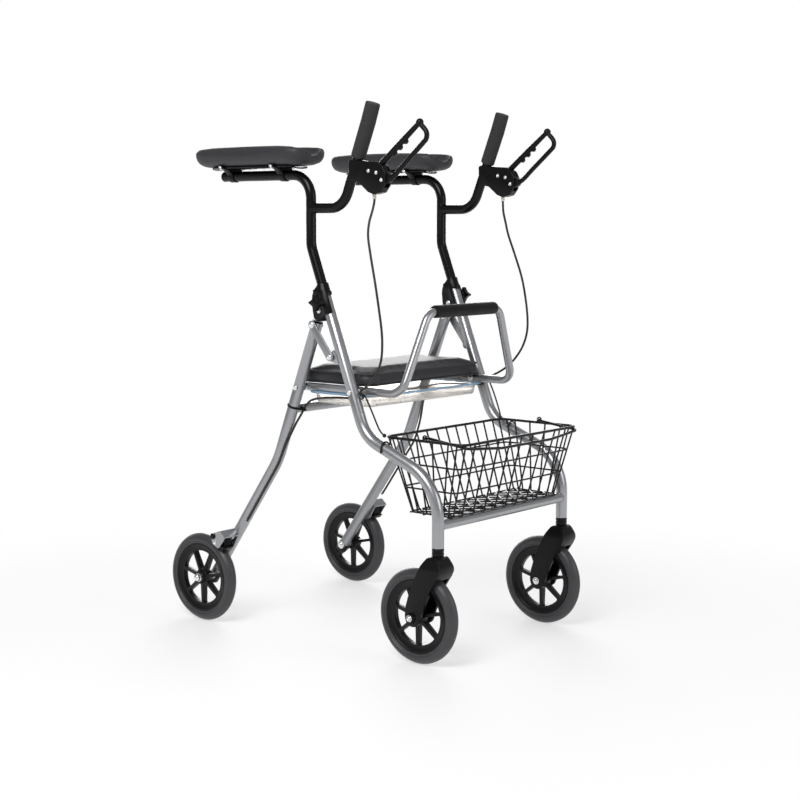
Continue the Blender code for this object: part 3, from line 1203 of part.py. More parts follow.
def lattice_floor(x_half, y_low, y_high, z):
    """Returns the basket's floor, a flat plate with staggered diamond openings inside a border."""
    border = WIRE + 0.001
    inner_x = x_half - border
    cell_x = 2 * inner_x / LATTICE_COLUMNS
    cell_y = (y_high - y_low - 2 * border) / LATTICE_ROWS
    strand = WIRE
    plate = box((-x_half, y_low, z - WIRE / 2), (x_half, y_high, z + WIRE / 2))
    cutters = bmesh.new()
    slope = math.hypot(cell_x, cell_y)
    shrink_x = strand * slope / cell_y / 2
    shrink_y = strand * slope / cell_x / 2
    for row in range(2 * LATTICE_ROWS - 1):
        shift = row % 2
        for column in range(LATTICE_COLUMNS - shift):
            cx = -inner_x + cell_x * (column + 0.5 + shift * 0.5)
            cy = y_low + border + cell_y * (row + 1) / 2
            rx = cell_x / 2 - shrink_x
            ry = cell_y / 2 - shrink_y
            rings = []
            for level in (z - 0.01, z + 0.01):
                rings.append([cutters.verts.new((cx + dx, cy + dy, level))
                              for dx, dy in ((rx, 0), (0, ry), (-rx, 0), (0, -ry))])
            low, high = rings
            for i in range(4):
                j = (i + 1) % 4
                cutters.faces.new((low[i], low[j], high[j], high[i]))
            cutters.faces.new(list(reversed(low)))
            cutters.faces.new(high)
    bmesh.ops.recalc_face_normals(cutters, faces=cutters.faces)
    return combined(plate, [], [cutters])


def build_basket(builder):
    """Makes the tapered wire basket as flat panels, its hooks over the legs, and its carrying bail."""
    fit = WIRE / 2 + GAP
    rim_x = RIM_HALF_WIDTH
    low_x = FLOOR_HALF_WIDTH
    across_top = rim_x - fit
    across_low = low_x - fit
    front = wire_panel([(across_top, RIM_FRONT_Y, RIM_Z), (-across_top, RIM_FRONT_Y, RIM_Z),
                        (-across_low, FLOOR_FRONT_Y, FLOOR_Z), (across_low, FLOOR_FRONT_Y, FLOOR_Z)],
                       FRONT_COLUMNS, ROWS, RIM_WIRE)
    builder.place("basket_front", front, "wire")
    back = wire_panel([(-across_top, RIM_BACK_Y, RIM_Z), (across_top, RIM_BACK_Y, RIM_Z),
                       (across_low, FLOOR_BACK_Y, FLOOR_Z), (-across_low, FLOOR_BACK_Y, FLOOR_Z)],
                      BACK_COLUMNS, ROWS, RIM_WIRE)
    builder.place("basket_back", back, "wire")
    panel = wire_panel([(rim_x, RIM_BACK_Y, RIM_Z), (rim_x, RIM_FRONT_Y, RIM_Z), (low_x, FLOOR_FRONT_Y, FLOOR_Z),
                        (low_x, FLOOR_BACK_Y, FLOOR_Z)], SIDE_COLUMNS, ROWS, RIM_WIRE)
    ear = extruded(arc(BAIL_PIVOT, 0.0075, 0, math.pi, 6) + [(BAIL_PIVOT[0] - 0.0075, RIM_Z - 0.003),
                   (BAIL_PIVOT[0] + 0.0075, RIM_Z - 0.003)], rim_x - WIRE / 2, rim_x + WIRE / 2)
    ear_bore = cylinder(BAIL_RADIUS + RUNNING, rim_x - 0.02, rim_x + 0.02, *BAIL_PIVOT, 10)
    hook_y = 0.140
    leg_z = FRONT_LEG_ANKLE[1] + hook_y * (FRONT_LEG_KNEE[1] - FRONT_LEG_ANKLE[1]) / FRONT_LEG_KNEE[0]
    reach = LEG_RADIUS + 0.0022
    ring = [Vector((rim_x, hook_y, RIM_Z - 0.003))]
    for angle in (150, 120, 90, 60, 30, 0):
        turn = math.radians(angle)
        x = LEG_HALF_TRACK + reach * math.cos(turn)
        ring.append(Vector((x, hook_y, leg_z + 0.002 + reach * math.sin(turn))))
    hook = sweep(ring, 0.0018, 6)
    side_panel = combined(panel, [ear, hook], [ear_bore])
    builder.pair("basket_side", side_panel, "wire")
    floor_x = low_x - fit - 0.0006
    lattice = lattice_floor(floor_x, FLOOR_FRONT_Y + fit, FLOOR_BACK_Y - fit, FLOOR_Z)
    builder.place("basket_floor", lattice, "wire")
    pin_x = rim_x + WIRE / 2 + 0.0035
    half = [(pin_x, *BAIL_PIVOT), (BAIL_HALF_WIDTH, *BAIL_PIVOT), (BAIL_HALF_WIDTH, BAIL_FRONT_Y, BAIL_PIVOT[1]),
            (BAIL_HALF_WIDTH * 0.45, *BAIL_MIDDLE)]
    corners = half + [(-px, py, pz) for px, py, pz in reversed(half)]
    radii = (0.0045, 0.012, 0.05, 0.05, 0.012, 0.0045)
    bail = sweep(filleted(corners, radii, math.radians(46)), BAIL_RADIUS, 6)
    builder.place("basket_bail", bail, "wire", (0, *BAIL_PIVOT))


def build_cables(builder):
    """Makes the brake cables along their real routes, each in its free and its clipped stretch."""
    builder.cord("brake_cable_upper", smooth_route(UPPER_CABLE_ROUTE, 0.0230), CABLE_RADIUS, "plastic")
    builder.cord("brake_cable_lower", smooth_route(LOWER_CABLE_ROUTE, 0.0230), CABLE_RADIUS, "plastic")


def main():
    """Builds the whole frame."""
    clear_scene()
    builder = Builder()
    build_front_frame(builder)
    build_seat_pivots(builder)
    build_forks(builder)
    build_wheels(builder)
    build_rear_frame(builder)
    build_links(builder)
    build_seat(builder)
    build_arms(builder)
    build_levers(builder)
    build_pads(builder)
    build_clamps(builder)
    build_brakes(builder)
    build_basket(builder)
    build_cables(builder)


main()
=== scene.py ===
"""The looks of a four-wheel walking frame with forearm supports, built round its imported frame.

Lengths are in metres, in the frame's own space: Z is up, the user walks towards -Y, and the
user's right side is -X. Side views are drawn in a plane whose Y starts at the swivel axis of the
front wheels, which the frame gives. Pieces that come in pairs are modelled on the left and copied.
"""

import json
import logging
import math
from collections.abc import Callable, Sequence
from dataclasses import dataclass
from enum import Enum

import bmesh
import bpy
from mathutils import Matrix, Vector

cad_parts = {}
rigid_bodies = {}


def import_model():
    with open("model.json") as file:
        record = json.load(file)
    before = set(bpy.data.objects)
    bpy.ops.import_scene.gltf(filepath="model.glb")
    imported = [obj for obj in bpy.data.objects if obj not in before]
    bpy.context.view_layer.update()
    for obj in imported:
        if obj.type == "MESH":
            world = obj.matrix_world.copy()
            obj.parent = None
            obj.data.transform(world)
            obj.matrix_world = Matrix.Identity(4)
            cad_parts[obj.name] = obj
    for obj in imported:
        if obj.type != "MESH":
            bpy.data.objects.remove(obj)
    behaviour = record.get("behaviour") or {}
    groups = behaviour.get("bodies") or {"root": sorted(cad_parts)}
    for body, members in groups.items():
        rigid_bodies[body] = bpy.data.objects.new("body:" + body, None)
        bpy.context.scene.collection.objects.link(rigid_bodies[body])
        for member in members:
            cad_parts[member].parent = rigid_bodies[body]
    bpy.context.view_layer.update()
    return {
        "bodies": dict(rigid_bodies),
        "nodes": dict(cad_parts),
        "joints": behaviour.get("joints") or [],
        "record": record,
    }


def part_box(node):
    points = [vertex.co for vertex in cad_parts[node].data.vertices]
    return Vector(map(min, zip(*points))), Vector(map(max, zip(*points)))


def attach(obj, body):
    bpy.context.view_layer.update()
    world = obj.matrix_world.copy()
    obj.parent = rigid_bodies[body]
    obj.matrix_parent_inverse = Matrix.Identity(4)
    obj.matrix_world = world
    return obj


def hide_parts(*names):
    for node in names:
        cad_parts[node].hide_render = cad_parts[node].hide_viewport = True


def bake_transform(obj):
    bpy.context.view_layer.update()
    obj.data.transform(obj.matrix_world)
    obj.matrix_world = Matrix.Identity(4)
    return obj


Piece = bpy.types.Object
Socket = bpy.types.NodeSocket
Pair = tuple[float, float]
Triple = tuple[float, float, float]
Inputs = dict[str | int, object]

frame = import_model()
LOG = logging.getLogger("walker")

SIDES = (("left", 1.0), ("right", -1.0))
FULL_TURN = 2 * math.pi


def middle(node: str) -> Vector:
    """Returns the middle of a CAD node's box."""
    low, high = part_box(node)
    return (low + high) / 2


KINGPIN = middle("stem_bush_left")
TRACK = KINGPIN.x
REAR_HUB = middle("rear_wheel_left")
FRONT_HUB = middle("front_wheel_left")
WHEEL_RADIUS = (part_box("rear_tyre_left")[1].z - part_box("rear_tyre_left")[0].z) / 2
LINK_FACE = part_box("fold_link_left")[1].x
OUTWARD, INWARD = Vector((1, 0, 0)), Vector((-1, 0, 0))
REARWARD, UP = Vector((0, 1, 0)), Vector((0, 0, 1))

# Points of the side plane, in (y, z).
SEAT_PIVOT = (0.23, 0.55)
REAR_PIVOT = (0.385, 0.55)
LINK_FOOT = (0.281, 0.622)
LINK_TOP = (0.332, 0.688)
FRONT_KNEE = (0.1945, 0.4583)
FRONT_ANKLE = (0.0, 0.379)
REAR_KNEE = (0.4485, 0.3865)
FRONT_AXLE = (FRONT_HUB.y - KINGPIN.y, FRONT_HUB.z)
REAR_AXLE = (REAR_HUB.y - KINGPIN.y, REAR_HUB.z)

FRONT_LEAN = math.radians(21)
LEG_RADIUS = 0.0125
ARM_RADIUS = 0.011
RAIL_RADIUS = 0.009
RAIL_X = 0.194
RAIL_Z = 0.55
PAD_TUBE_Z = 1.004
PLAY = 0.0004


def side(y: float, z: float, x: float = TRACK) -> Vector:
    """Returns a point of the side plane, whose Y starts at the swivel axis.

    Args:
        y: Distance behind the swivel axis.
        z: Height above the floor.
        x: Distance to the left of the middle.
    """
    return Vector((x, y + KINGPIN.y, z))


def leg_y(z: float) -> float:
    """Returns the Y of the leaning front leg's axis at a height."""
    return SEAT_PIVOT[0] + (z - SEAT_PIVOT[1]) * math.tan(FRONT_LEAN)


def line_y(high: Sequence[float], low: Sequence[float], z: float) -> float:
    """Returns the Y at a height of the line through two points of the side plane."""
    return high[0] + (high[1] - z) * (low[0] - high[0]) / (high[1] - low[1])


def arc(centre: Pair, radius: float, start: float, end: float, count: int) -> list[Pair]:
    """Returns the points of an arc in a plane.

    Args:
        centre: Its centre.
        radius: Its radius.
        start: First angle in degrees, from the first axis towards the second.
        end: Last angle in degrees.
        count: Number of steps.
    """
    angles = [math.radians(start + (end - start) * i / count) for i in range(count + 1)]
    return [(centre[0] + radius * math.cos(a), centre[1] + radius * math.sin(a)) for a in angles]


def rounded(corners: Sequence[Sequence[float]], radius: float, count: int = 4) -> list[Pair]:
    """Returns a closed outline with its corners rounded.

    Args:
        corners: The sharp corners, in order.
        radius: The largest radius that a corner gets.
        count: Steps in each rounded corner.
    """
    points = []
    for index, corner in enumerate(corners):
        here = Vector(corner)
        back = Vector(corners[index - 1]) - here
        ahead = Vector(corners[(index + 1) % len(corners)]) - here
        turn = math.pi - back.angle(ahead)
        reach = min(radius * math.tan(turn / 2), back.length * 0.45, ahead.length * 0.45)
        start = here + back.normalized() * reach
        end = here + ahead.normalized() * reach
        for i in range(count + 1):
            t = i / count
            points.append(tuple(start.lerp(here, t).lerp(here.lerp(end, t), t)))
    return points


def bend(before: Vector, corner: Vector, after: Vector,
         radius: float) -> tuple[Vector, Vector, Vector, Vector, float]:
    """Returns the two ends, the middle, the axis and the angle of the bend at a corner."""
    back, ahead = (before - corner).normalized(), (after - corner).normalized()
    turn = math.pi - back.angle(ahead)
    reach = radius * math.tan(turn / 2)
    first = corner + back * reach
    centre = corner + (back + ahead).normalized() * (radius / math.cos(turn / 2))
    return first, corner + ahead * reach, centre, (corner - first).cross(centre - first).normalized(), turn


def filleted(corners: Sequence[Vector], radii: Sequence[float], step: float = 6.0) -> list[Vector]:
    """Returns a line whose inner corners are rounded by arcs.

    Args:
        corners: The corners of the line.
        radii: One bend radius for each inner corner.
        step: Degrees between the points of an arc.
    """
    points = [corners[0]]
    for before, corner, after, radius in zip(corners, corners[1:], corners[2:], radii):
        first, _, centre, axis, turn = bend(before, corner, after, radius)
        count = max(2, math.ceil(math.degrees(turn) / step))
        for index in range(count + 1):
            points.append(centre + Matrix.Rotation(turn * index / count, 3, axis) @ (first - centre))
    points.append(corners[-1])
    return points


def travelled(line: Sequence[Vector]) -> list[float]:
    """Returns how far along a line each of its points lies."""
    travel = [0.0]
    for p, q in zip(line, line[1:]):
        travel.append(travel[-1] + (q - p).length)
    return travel


def both_sides(half: Sequence[Vector]) -> list[Vector]:
    """Returns a line that runs on as its own mirror image across the middle plane."""
    return [*half, *(Vector((-p.x, p.y, p.z)) for p in reversed(half))]


def smoothed(route: Sequence[Vector], spacing: float) -> list[Vector]:
    """Returns points a set distance apart along a smooth curve through a route."""
    fine = []
    for i in range(len(route) - 1):
        p0, p1, p2, p3 = (route[max(i - 1, 0)], route[i], route[i + 1], route[min(i + 2, len(route) - 1)])
        for k in range(16):
            t = k / 16
            fine.append((2 * p1 + (p2 - p0) * t + (2 * p0 - 5 * p1 + 4 * p2 - p3) * t ** 2
                         + (3 * p1 - p0 - 3 * p2 + p3) * t ** 3) / 2)
    fine.append(route[-1])
    lengths = travelled(fine)
    count = max(2, round(lengths[-1] / spacing))
    points = []
    j = 0
    for i in range(count + 1):
        goal = lengths[-1] * i / count
        while j < len(fine) - 2 and lengths[j + 1] < goal:
            j += 1
        points.append(fine[j].lerp(fine[j + 1], (goal - lengths[j]) / (lengths[j + 1] - lengths[j])))
    return points


def clear() -> None:
    """Leaves nothing selected."""
    bpy.ops.object.select_all(action="DESELECT")


def take(piece: Piece, *others: Piece) -> None:
    """Selects a piece and others, and makes the first one the active one."""
    clear()
    for thing in (piece, *others):
        thing.select_set(True)
    bpy.context.view_layer.objects.active = piece


def edit() -> None:
    """Opens the active piece for editing, all of it selected."""
    bpy.ops.object.mode_set(mode="EDIT")
    bpy.ops.mesh.select_all(action="SELECT")


def close() -> None:
    """Ends editing."""
    bpy.ops.object.mode_set(mode="OBJECT")


def freeze() -> Piece:
    """Puts the active piece's place into its mesh, and returns it."""
    bpy.ops.object.transform_apply(location=True, rotation=True, scale=True)
    return bpy.context.object


def settle(name: str = "piece") -> Piece:
    """Puts the active piece's place into its mesh, names it, and returns it."""
    piece = freeze()
    piece.name = piece.data.name = name
    return piece


def heal(threshold: float = 1e-6) -> None:
    """Merges doubled points of the piece being edited and turns its faces outwards."""
    bpy.ops.mesh.select_all(action="SELECT")
    bpy.ops.mesh.remove_doubles(threshold=threshold)
    bpy.ops.mesh.dissolve_degenerate(threshold=threshold)
    bpy.ops.mesh.delete_loose()
    bpy.ops.mesh.select_all(action="SELECT")
    bpy.ops.mesh.normals_make_consistent(inside=False)


def loop(points: Sequence[Vector], fill: bool) -> Piece:
    """Adds a circle with as many points as an outline and drags each to its place."""
    clear()
    bpy.ops.mesh.primitive_circle_add(vertices=len(points), radius=0.01,
                                      fill_type="NGON" if fill else "NOTHING")
    piece = bpy.context.object
    for vert, point in zip(piece.data.vertices, points):
        vert.co = point
    return piece


def modify(piece: Piece, kind: str, **settings: object) -> None:
    """Adds a modifier to a piece and applies it.

    Args:
        piece: The piece.
        kind: The modifier's type.
        settings: Its settings.
    """
    take(piece)
    modifier = piece.modifiers.new("step", kind)
    for key, value in settings.items():
        setattr(modifier, key, value)
    bpy.ops.object.modifier_apply(modifier=modifier.name)


def soften(piece: Piece, width: float, segments: int = 2, angle: float = 40.0) -> None:
    """Rounds the edges of a piece that are sharper than an angle in degrees."""
    modify(piece, "BEVEL", width=width, segments=segments, limit_method="ANGLE",
           angle_limit=math.radians(angle), harden_normals=False)


def slab(outline: Sequence[Vector], push: Vector, bevel: float = 0.0, segments: int = 2) -> Piece:
    """Returns a slab: an outline filled and pushed out.

    Args:
        outline: Its outline.
        push: How far and which way it is pushed.
        bevel: The rounding of its edges.
        segments: Steps in that rounding.
    """
    piece = loop(outline, fill=True)
    edit()
    bpy.ops.mesh.extrude_region_move(TRANSFORM_OT_translate={"value": push})
    bpy.ops.mesh.select_all(action="SELECT")
    bpy.ops.mesh.normals_make_consistent(inside=False)
    close()
    if bevel:
        soften(piece, bevel, segments)
    return piece


def plate(outline: Sequence[Pair], low: float, high: float, bevel: float = 0.0,
          segments: int = 2, x: float = TRACK) -> Piece:
    """Returns a plate drawn in the side plane, thick along X.

    Args:
        outline: Its outline in (y, z) of the side plane.
        low: Its inner face, from the middle of the leg's plane.
        high: Its outer face, from the same plane.
        bevel: The rounding of its edges.
        segments: Steps in that rounding.
        x: The leg's plane.
    """
    points = [side(y, z, x + low) for y, z in outline]
    return slab(points, Vector((high - low, 0, 0)), bevel, segments)


def quilt(rows: Sequence[Sequence[Vector]], closed: bool) -> Piece:
    """Returns a grid dragged over rows of points.

    Args:
        rows: The rows, each of as many points.
        closed: Whether each row ends where it starts, which makes a body with capped ends.
    """
    clear()
    bpy.ops.mesh.primitive_grid_add(x_subdivisions=len(rows[0]) - 1, y_subdivisions=len(rows) - 1, size=0.1)
    piece = bpy.context.object
    for vert, point in zip(piece.data.vertices, [point for row in rows for point in row]):
        vert.co = point
    edit()
    if closed:
        bpy.ops.mesh.remove_doubles(threshold=1e-6)
        bpy.ops.mesh.select_all(action="DESELECT")
        bpy.ops.mesh.select_non_manifold()
        bpy.ops.mesh.fill_holes(sides=0)
        bpy.ops.mesh.select_all(action="SELECT")
        bpy.ops.mesh.normals_make_consistent(inside=False)
    close()
    return piece


def bar(start: Vector, end: Vector, radius: float, sides: int = 32, bevel: float = 0.0) -> Piece:
    """Returns a straight bar between two points.

    Args:
        start: One end.
        end: The other end.
        radius: Its radius.
        sides: Its number of sides.
        bevel: The rounding of its ends.
    """
    clear()
    run = end - start
    bpy.ops.mesh.primitive_cylinder_add(vertices=sides, radius=radius, depth=run.length,
                                        location=(start + end) / 2,
                                        rotation=run.to_track_quat("Z", "X").to_euler())
    piece = freeze()
    if bevel:
        soften(piece, bevel, 3, 60)
    return piece


def across(y: float, z: float, low: float, high: float, radius: float, sides: int = 32,
           bevel: float = 0.0) -> Piece:
    """Returns a bar along X at a point of the side plane, from one X to another."""
    return bar(side(y, z, low), side(y, z, high), radius, sides, bevel)


def bolt_head(centre: Vector, axis: Vector, radius: float, height: float) -> Piece:
    """Returns a domed bolt head on a thin washer, standing on a face.

    Args:
        centre: The middle of its foot.
        axis: The way that it stands.
        radius: The head's radius.
        height: The head's height.
    """
    profile = [(0.0, 0.0), (radius * 1.3, 0.0), (radius * 1.3, height * 0.14), (radius, height * 0.2),
               (radius, height * 0.55), (radius * 0.85, height * 0.82), (radius * 0.52, height * 0.97),
               (radius * 0.5, height * 0.72), (0.0, height * 0.72)]
    return turned(profile, centre, 28, axis)


def nut(centre: Vector, axis: Vector, radius: float, height: float) -> Piece:
    """Returns a six-sided nut with a domed cap, on a washer.

    Args:
        centre: The middle of its foot.
        axis: The way that it stands.
        radius: Its corner radius.
        height: Its height with the cap.
    """
    along = axis.normalized()
    body = bar(centre, centre + along * height * 0.6, radius, 6, radius * 0.08)
    washer = bar(centre - along * 0.0004, centre + along * height * 0.12, radius * 1.18, 28,
                 height * 0.03)
    dome = [(0.0, height * 0.5), (radius * 0.72, height * 0.5), (radius * 0.7, height * 0.68),
            (radius * 0.5, height * 0.9), (radius * 0.22, height), (0.0, height)]
    return join([body, washer, turned(dome, centre, 24, along)])


def turned(profile: Sequence[Pair], centre: Vector, steps: int = 40,
           axis: Vector = OUTWARD) -> Piece:
    """Returns a part turned on a lathe.

    Args:
        profile: A closed outline in (radius, distance along the axis).
        centre: The point on the axis that distances start from.
        steps: Steps round the part.
        axis: The axis of the lathe.
    """
    along = axis.normalized()
    out = along.orthogonal().normalized()
    loop([centre + along * x + out * r for r, x in profile], fill=False)
    edit()
    bpy.ops.mesh.spin(steps=steps, angle=FULL_TURN, center=centre, axis=along)
    heal()
    close()
    return bpy.context.object


def tube(corners: Sequence[Vector], bends: Sequence[float], radius: float, sides: int = 32,
         step: float = 5.0) -> Piece:
    """Returns a bent tube, pushed out along its straights and spun round its bends.

    Args:
        corners: The corners of its axis.
        bends: One bend radius for each inner corner.
        radius: Its outer radius.
        sides: Sides of its section.
        step: Degrees between the rings of a bend.
    """
    start = (corners[1] - corners[0]).normalized()
    clear()
    bpy.ops.mesh.primitive_circle_add(vertices=sides, radius=radius, fill_type="NGON", location=corners[0],
                                      rotation=start.to_track_quat("Z", "X").to_euler())
    freeze()
    edit()
    here = corners[0]
    for before, corner, after, bend_radius in zip(corners, corners[1:], corners[2:], bends):
        first, last, centre, axis, turn = bend(before, corner, after, bend_radius)
        bpy.ops.mesh.extrude_region_move(TRANSFORM_OT_translate={"value": first - here})
        bpy.ops.mesh.spin(steps=max(2, math.ceil(math.degrees(turn) / step)), angle=-turn, center=centre,
                          axis=axis)
        here = last
    bpy.ops.mesh.extrude_region_move(TRANSFORM_OT_translate={"value": corners[-1] - here})
    heal()
    close()
    return bpy.context.object


def rod(points: Sequence[Vector], radius: float | Sequence[float], resolution: int = 3,
        smooth_ends: bool = True, closed: bool = False) -> Piece:
    """Returns a round rod or wire along a line, as a bevelled path made a mesh.

    Args:
        points: The points that it follows.
        radius: Its radius, or one for each point.
        resolution: Fineness of its section.
        smooth_ends: Whether its ends are rounded off.
        closed: Whether it goes round to its start.
    """
    clear()
    bpy.ops.curve.primitive_nurbs_path_add()
    curve = bpy.context.object.data
    curve.splines.clear()
    spline = curve.splines.new("POLY")
    radii = list(radius) if isinstance(radius, (list, tuple)) else [radius] * len(points)
    line = list(points)
    if smooth_ends:
        first, last = radii[0], radii[-1]
        into = (line[1] - line[0]).normalized()
        out = (line[-1] - line[-2]).normalized()
        near, far = line[0] + into * first * 0.25, line[-1] - out * last * 0.25
        line = [line[0], near, *line[1:-1], far, line[-1]]
        radii = [first * 0.7, first, *radii[1:-1], last, last * 0.7]
    spline.points.add(len(line) - 1)
    thickest = max(radii)
    for knot, point, r in zip(spline.points, line, radii):
        knot.co = (*point, 1.0)
        knot.radius = r / thickest
    spline.use_cyclic_u = closed
    curve.dimensions = "3D"
    curve.bevel_depth = thickest
    curve.bevel_resolution = resolution
    curve.use_fill_caps = True
    bpy.ops.object.convert(target="MESH")
    edit()
    heal(1e-7)
    close()
    return bpy.context.object


def hoop(points: Sequence[Vector], radius: float, resolution: int = 3) -> Piece:
    """Returns a wire that goes round to its start."""
    return rod(points, radius, resolution, smooth_ends=False, closed=True)


def ball(centre: Vector, size: Sequence[float], segments: int = 24) -> Piece:
    """Returns a ball stretched to three half sizes."""
    clear()
    bpy.ops.mesh.primitive_uv_sphere_add(segments=segments, ring_count=segments // 2, radius=1.0,
                                         location=centre, scale=size)
    return freeze()


def combine(base: Piece, others: Sequence[Piece], operation: str = "UNION") -> Piece:
    """Joins bodies to a base with Booleans, or cuts them from it, and returns the base."""
    for other in others:
        modify(base, "BOOLEAN", object=other, operation=operation, solver="EXACT")
        bpy.data.objects.remove(other)
    take(base)
    edit()
    bpy.ops.mesh.remove_doubles(threshold=1e-7)
    close()
    return base


def join(pieces: Sequence[Piece]) -> Piece:
    """Puts several bodies into one piece and returns it."""
    take(*pieces)
    bpy.ops.object.join()
    return bpy.context.object


def score(piece: Piece, levels: Sequence[float]) -> None:
    """Cuts a piece's faces along level planes, with nothing taken away."""
    take(piece)
    edit()
    for level in levels:
        bpy.ops.mesh.select_all(action="SELECT")
        bpy.ops.mesh.bisect(plane_co=(0.0, 0.0, level), plane_no=(0.0, 0.0, 1.0))
    close()


def outward(piece: Piece) -> None:
    """Turns a closed piece right side out if it is inside out."""
    mesh = bmesh.new()
    mesh.from_mesh(piece.data)
    volume = mesh.calc_volume(signed=True)
    mesh.free()
    if volume < 0:
        take(piece)
        edit()
        bpy.ops.mesh.flip_normals()
        close()


def mirrored(piece: Piece) -> Piece:
    """Returns a mirror image of a piece across the middle plane, with its own mesh."""
    take(piece)
    bpy.ops.object.duplicate()
    bpy.context.object.scale.x = -1
    twin = settle()
    outward(twin)
    return twin


class Nodes:
    """A node tree that is being wired."""

    def __init__(self, tree: bpy.types.NodeTree) -> None:
        """Takes a tree in hand."""
        self.tree = tree

    def feed(self, node: bpy.types.Node, inputs: Inputs) -> None:
        """Sets a node's inputs: a socket is linked, and anything else is a constant."""
        for key, value in inputs.items():
            if isinstance(value, Socket):
                self.tree.links.new(value, node.inputs[key])
            else:
                node.inputs[key].default_value = value

    def add(self, kind: str, inputs: Inputs | None = None, **settings: object) -> bpy.types.Node:
        """Returns a new node of a kind, with its settings and its inputs set."""
        node = self.tree.nodes.new("ShaderNode" + kind)
        for key, value in settings.items():
            setattr(node, key, value)
        self.feed(node, inputs or {})
        return node

    def math(self, operation: str, first: Socket, second: Socket) -> Socket:
        """Returns the result of a sum on two sockets."""
        return self.add("Math", {0: first, 1: second}, operation=operation).outputs[0]


class Grain(Enum):
    """The fine surface of a finish, by what it is on."""

    FLAKE = "metal flakes under lacquer"
    SPRAY = "sprayed paint"
    MOULD = "moulded plastic"
    RUBBER = "rubber"
    FOAM = "foam skin"
    HIDE = "embossed vinyl"
    DRAWN = "turned or drawn metal"
    CLEAR = "clear plastic"


@dataclass(frozen=True)
class Finish:
    """One finish of the walker, made as a procedural material on object coordinates."""

    label: str
    slot: str
    grain: Grain
    colour: Triple
    shade: float = 0.85
    roughness: Pair = (0.4, 0.5)
    metallic: float = 0.0
    specular: float = 0.5
    coat: float = 0.0
    transmission: float = 0.0
    patch_scale: float = 9.0
    grain_scale: float = 900.0
    grain_depth: float = 0.0002
    grain_strength: float = 0.3
    stretch: Triple = (1.0, 1.0, 1.0)

    def material(self) -> bpy.types.Material:
        """Returns the finish's material, made the first time it is asked for."""
        made = bpy.data.materials.get(self.label)
        return made or self._build()

    def _build(self) -> bpy.types.Material:
        """Builds the material: patches of shade, an uneven gloss and the fine grain."""
        material = bpy.data.materials.new(self.label)
        material.use_nodes = True
        nodes = Nodes(material.node_tree)
        place = nodes.add("TexCoord").outputs["Object"]
        shade = nodes.add("ValToRGB", {"Fac": self._noise(nodes, place, self.patch_scale, 4.0)})
        for stop, position, share in zip(shade.color_ramp.elements, (0.35, 0.65), (self.shade, 1.0)):
            stop.position = position
            stop.color = (*(channel * share for channel in self.colour), 1.0)
        gloss = nodes.add("MapRange", {
            "Value": self._noise(nodes, place, self.patch_scale * 6, 3.0), "From Min": 0.3, "From Max": 0.7,
            "To Min": self.roughness[0], "To Max": self.roughness[1]})
        bump = nodes.add("Bump", {"Height": self._grain(nodes, place), "Strength": self.grain_strength,
                                  "Distance": self.grain_depth})
        nodes.feed(material.node_tree.nodes["Principled BSDF"], {
            "Base Color": shade.outputs["Color"], "Roughness": gloss.outputs["Result"],
            "Normal": bump.outputs["Normal"], "Metallic": self.metallic, "Specular IOR Level": self.specular,
            "Coat Weight": self.coat, "Coat Roughness": 0.12, "Transmission Weight": self.transmission})
        return material

    def _noise(self, nodes: Nodes, place: Socket, scale: float, detail: float) -> Socket:
        """Returns a noise of a scale in the finish's space."""
        return nodes.add("TexNoise", {"Vector": place, "Scale": scale, "Detail": detail}).outputs["Fac"]

    def _grain(self, nodes: Nodes, place: Socket) -> Socket:
        """Returns the height of the fine grain."""
        place = nodes.add("Mapping", {"Vector": place, "Scale": self.stretch}).outputs["Vector"]
        if self.grain not in (Grain.HIDE, Grain.FOAM, Grain.FLAKE):
            return self._noise(nodes, place, self.grain_scale, 2.0)
        feature = "DISTANCE_TO_EDGE" if self.grain is Grain.HIDE else "F1"
        return nodes.add("TexVoronoi", {"Vector": place, "Scale": self.grain_scale},
                         feature=feature).outputs["Distance"]


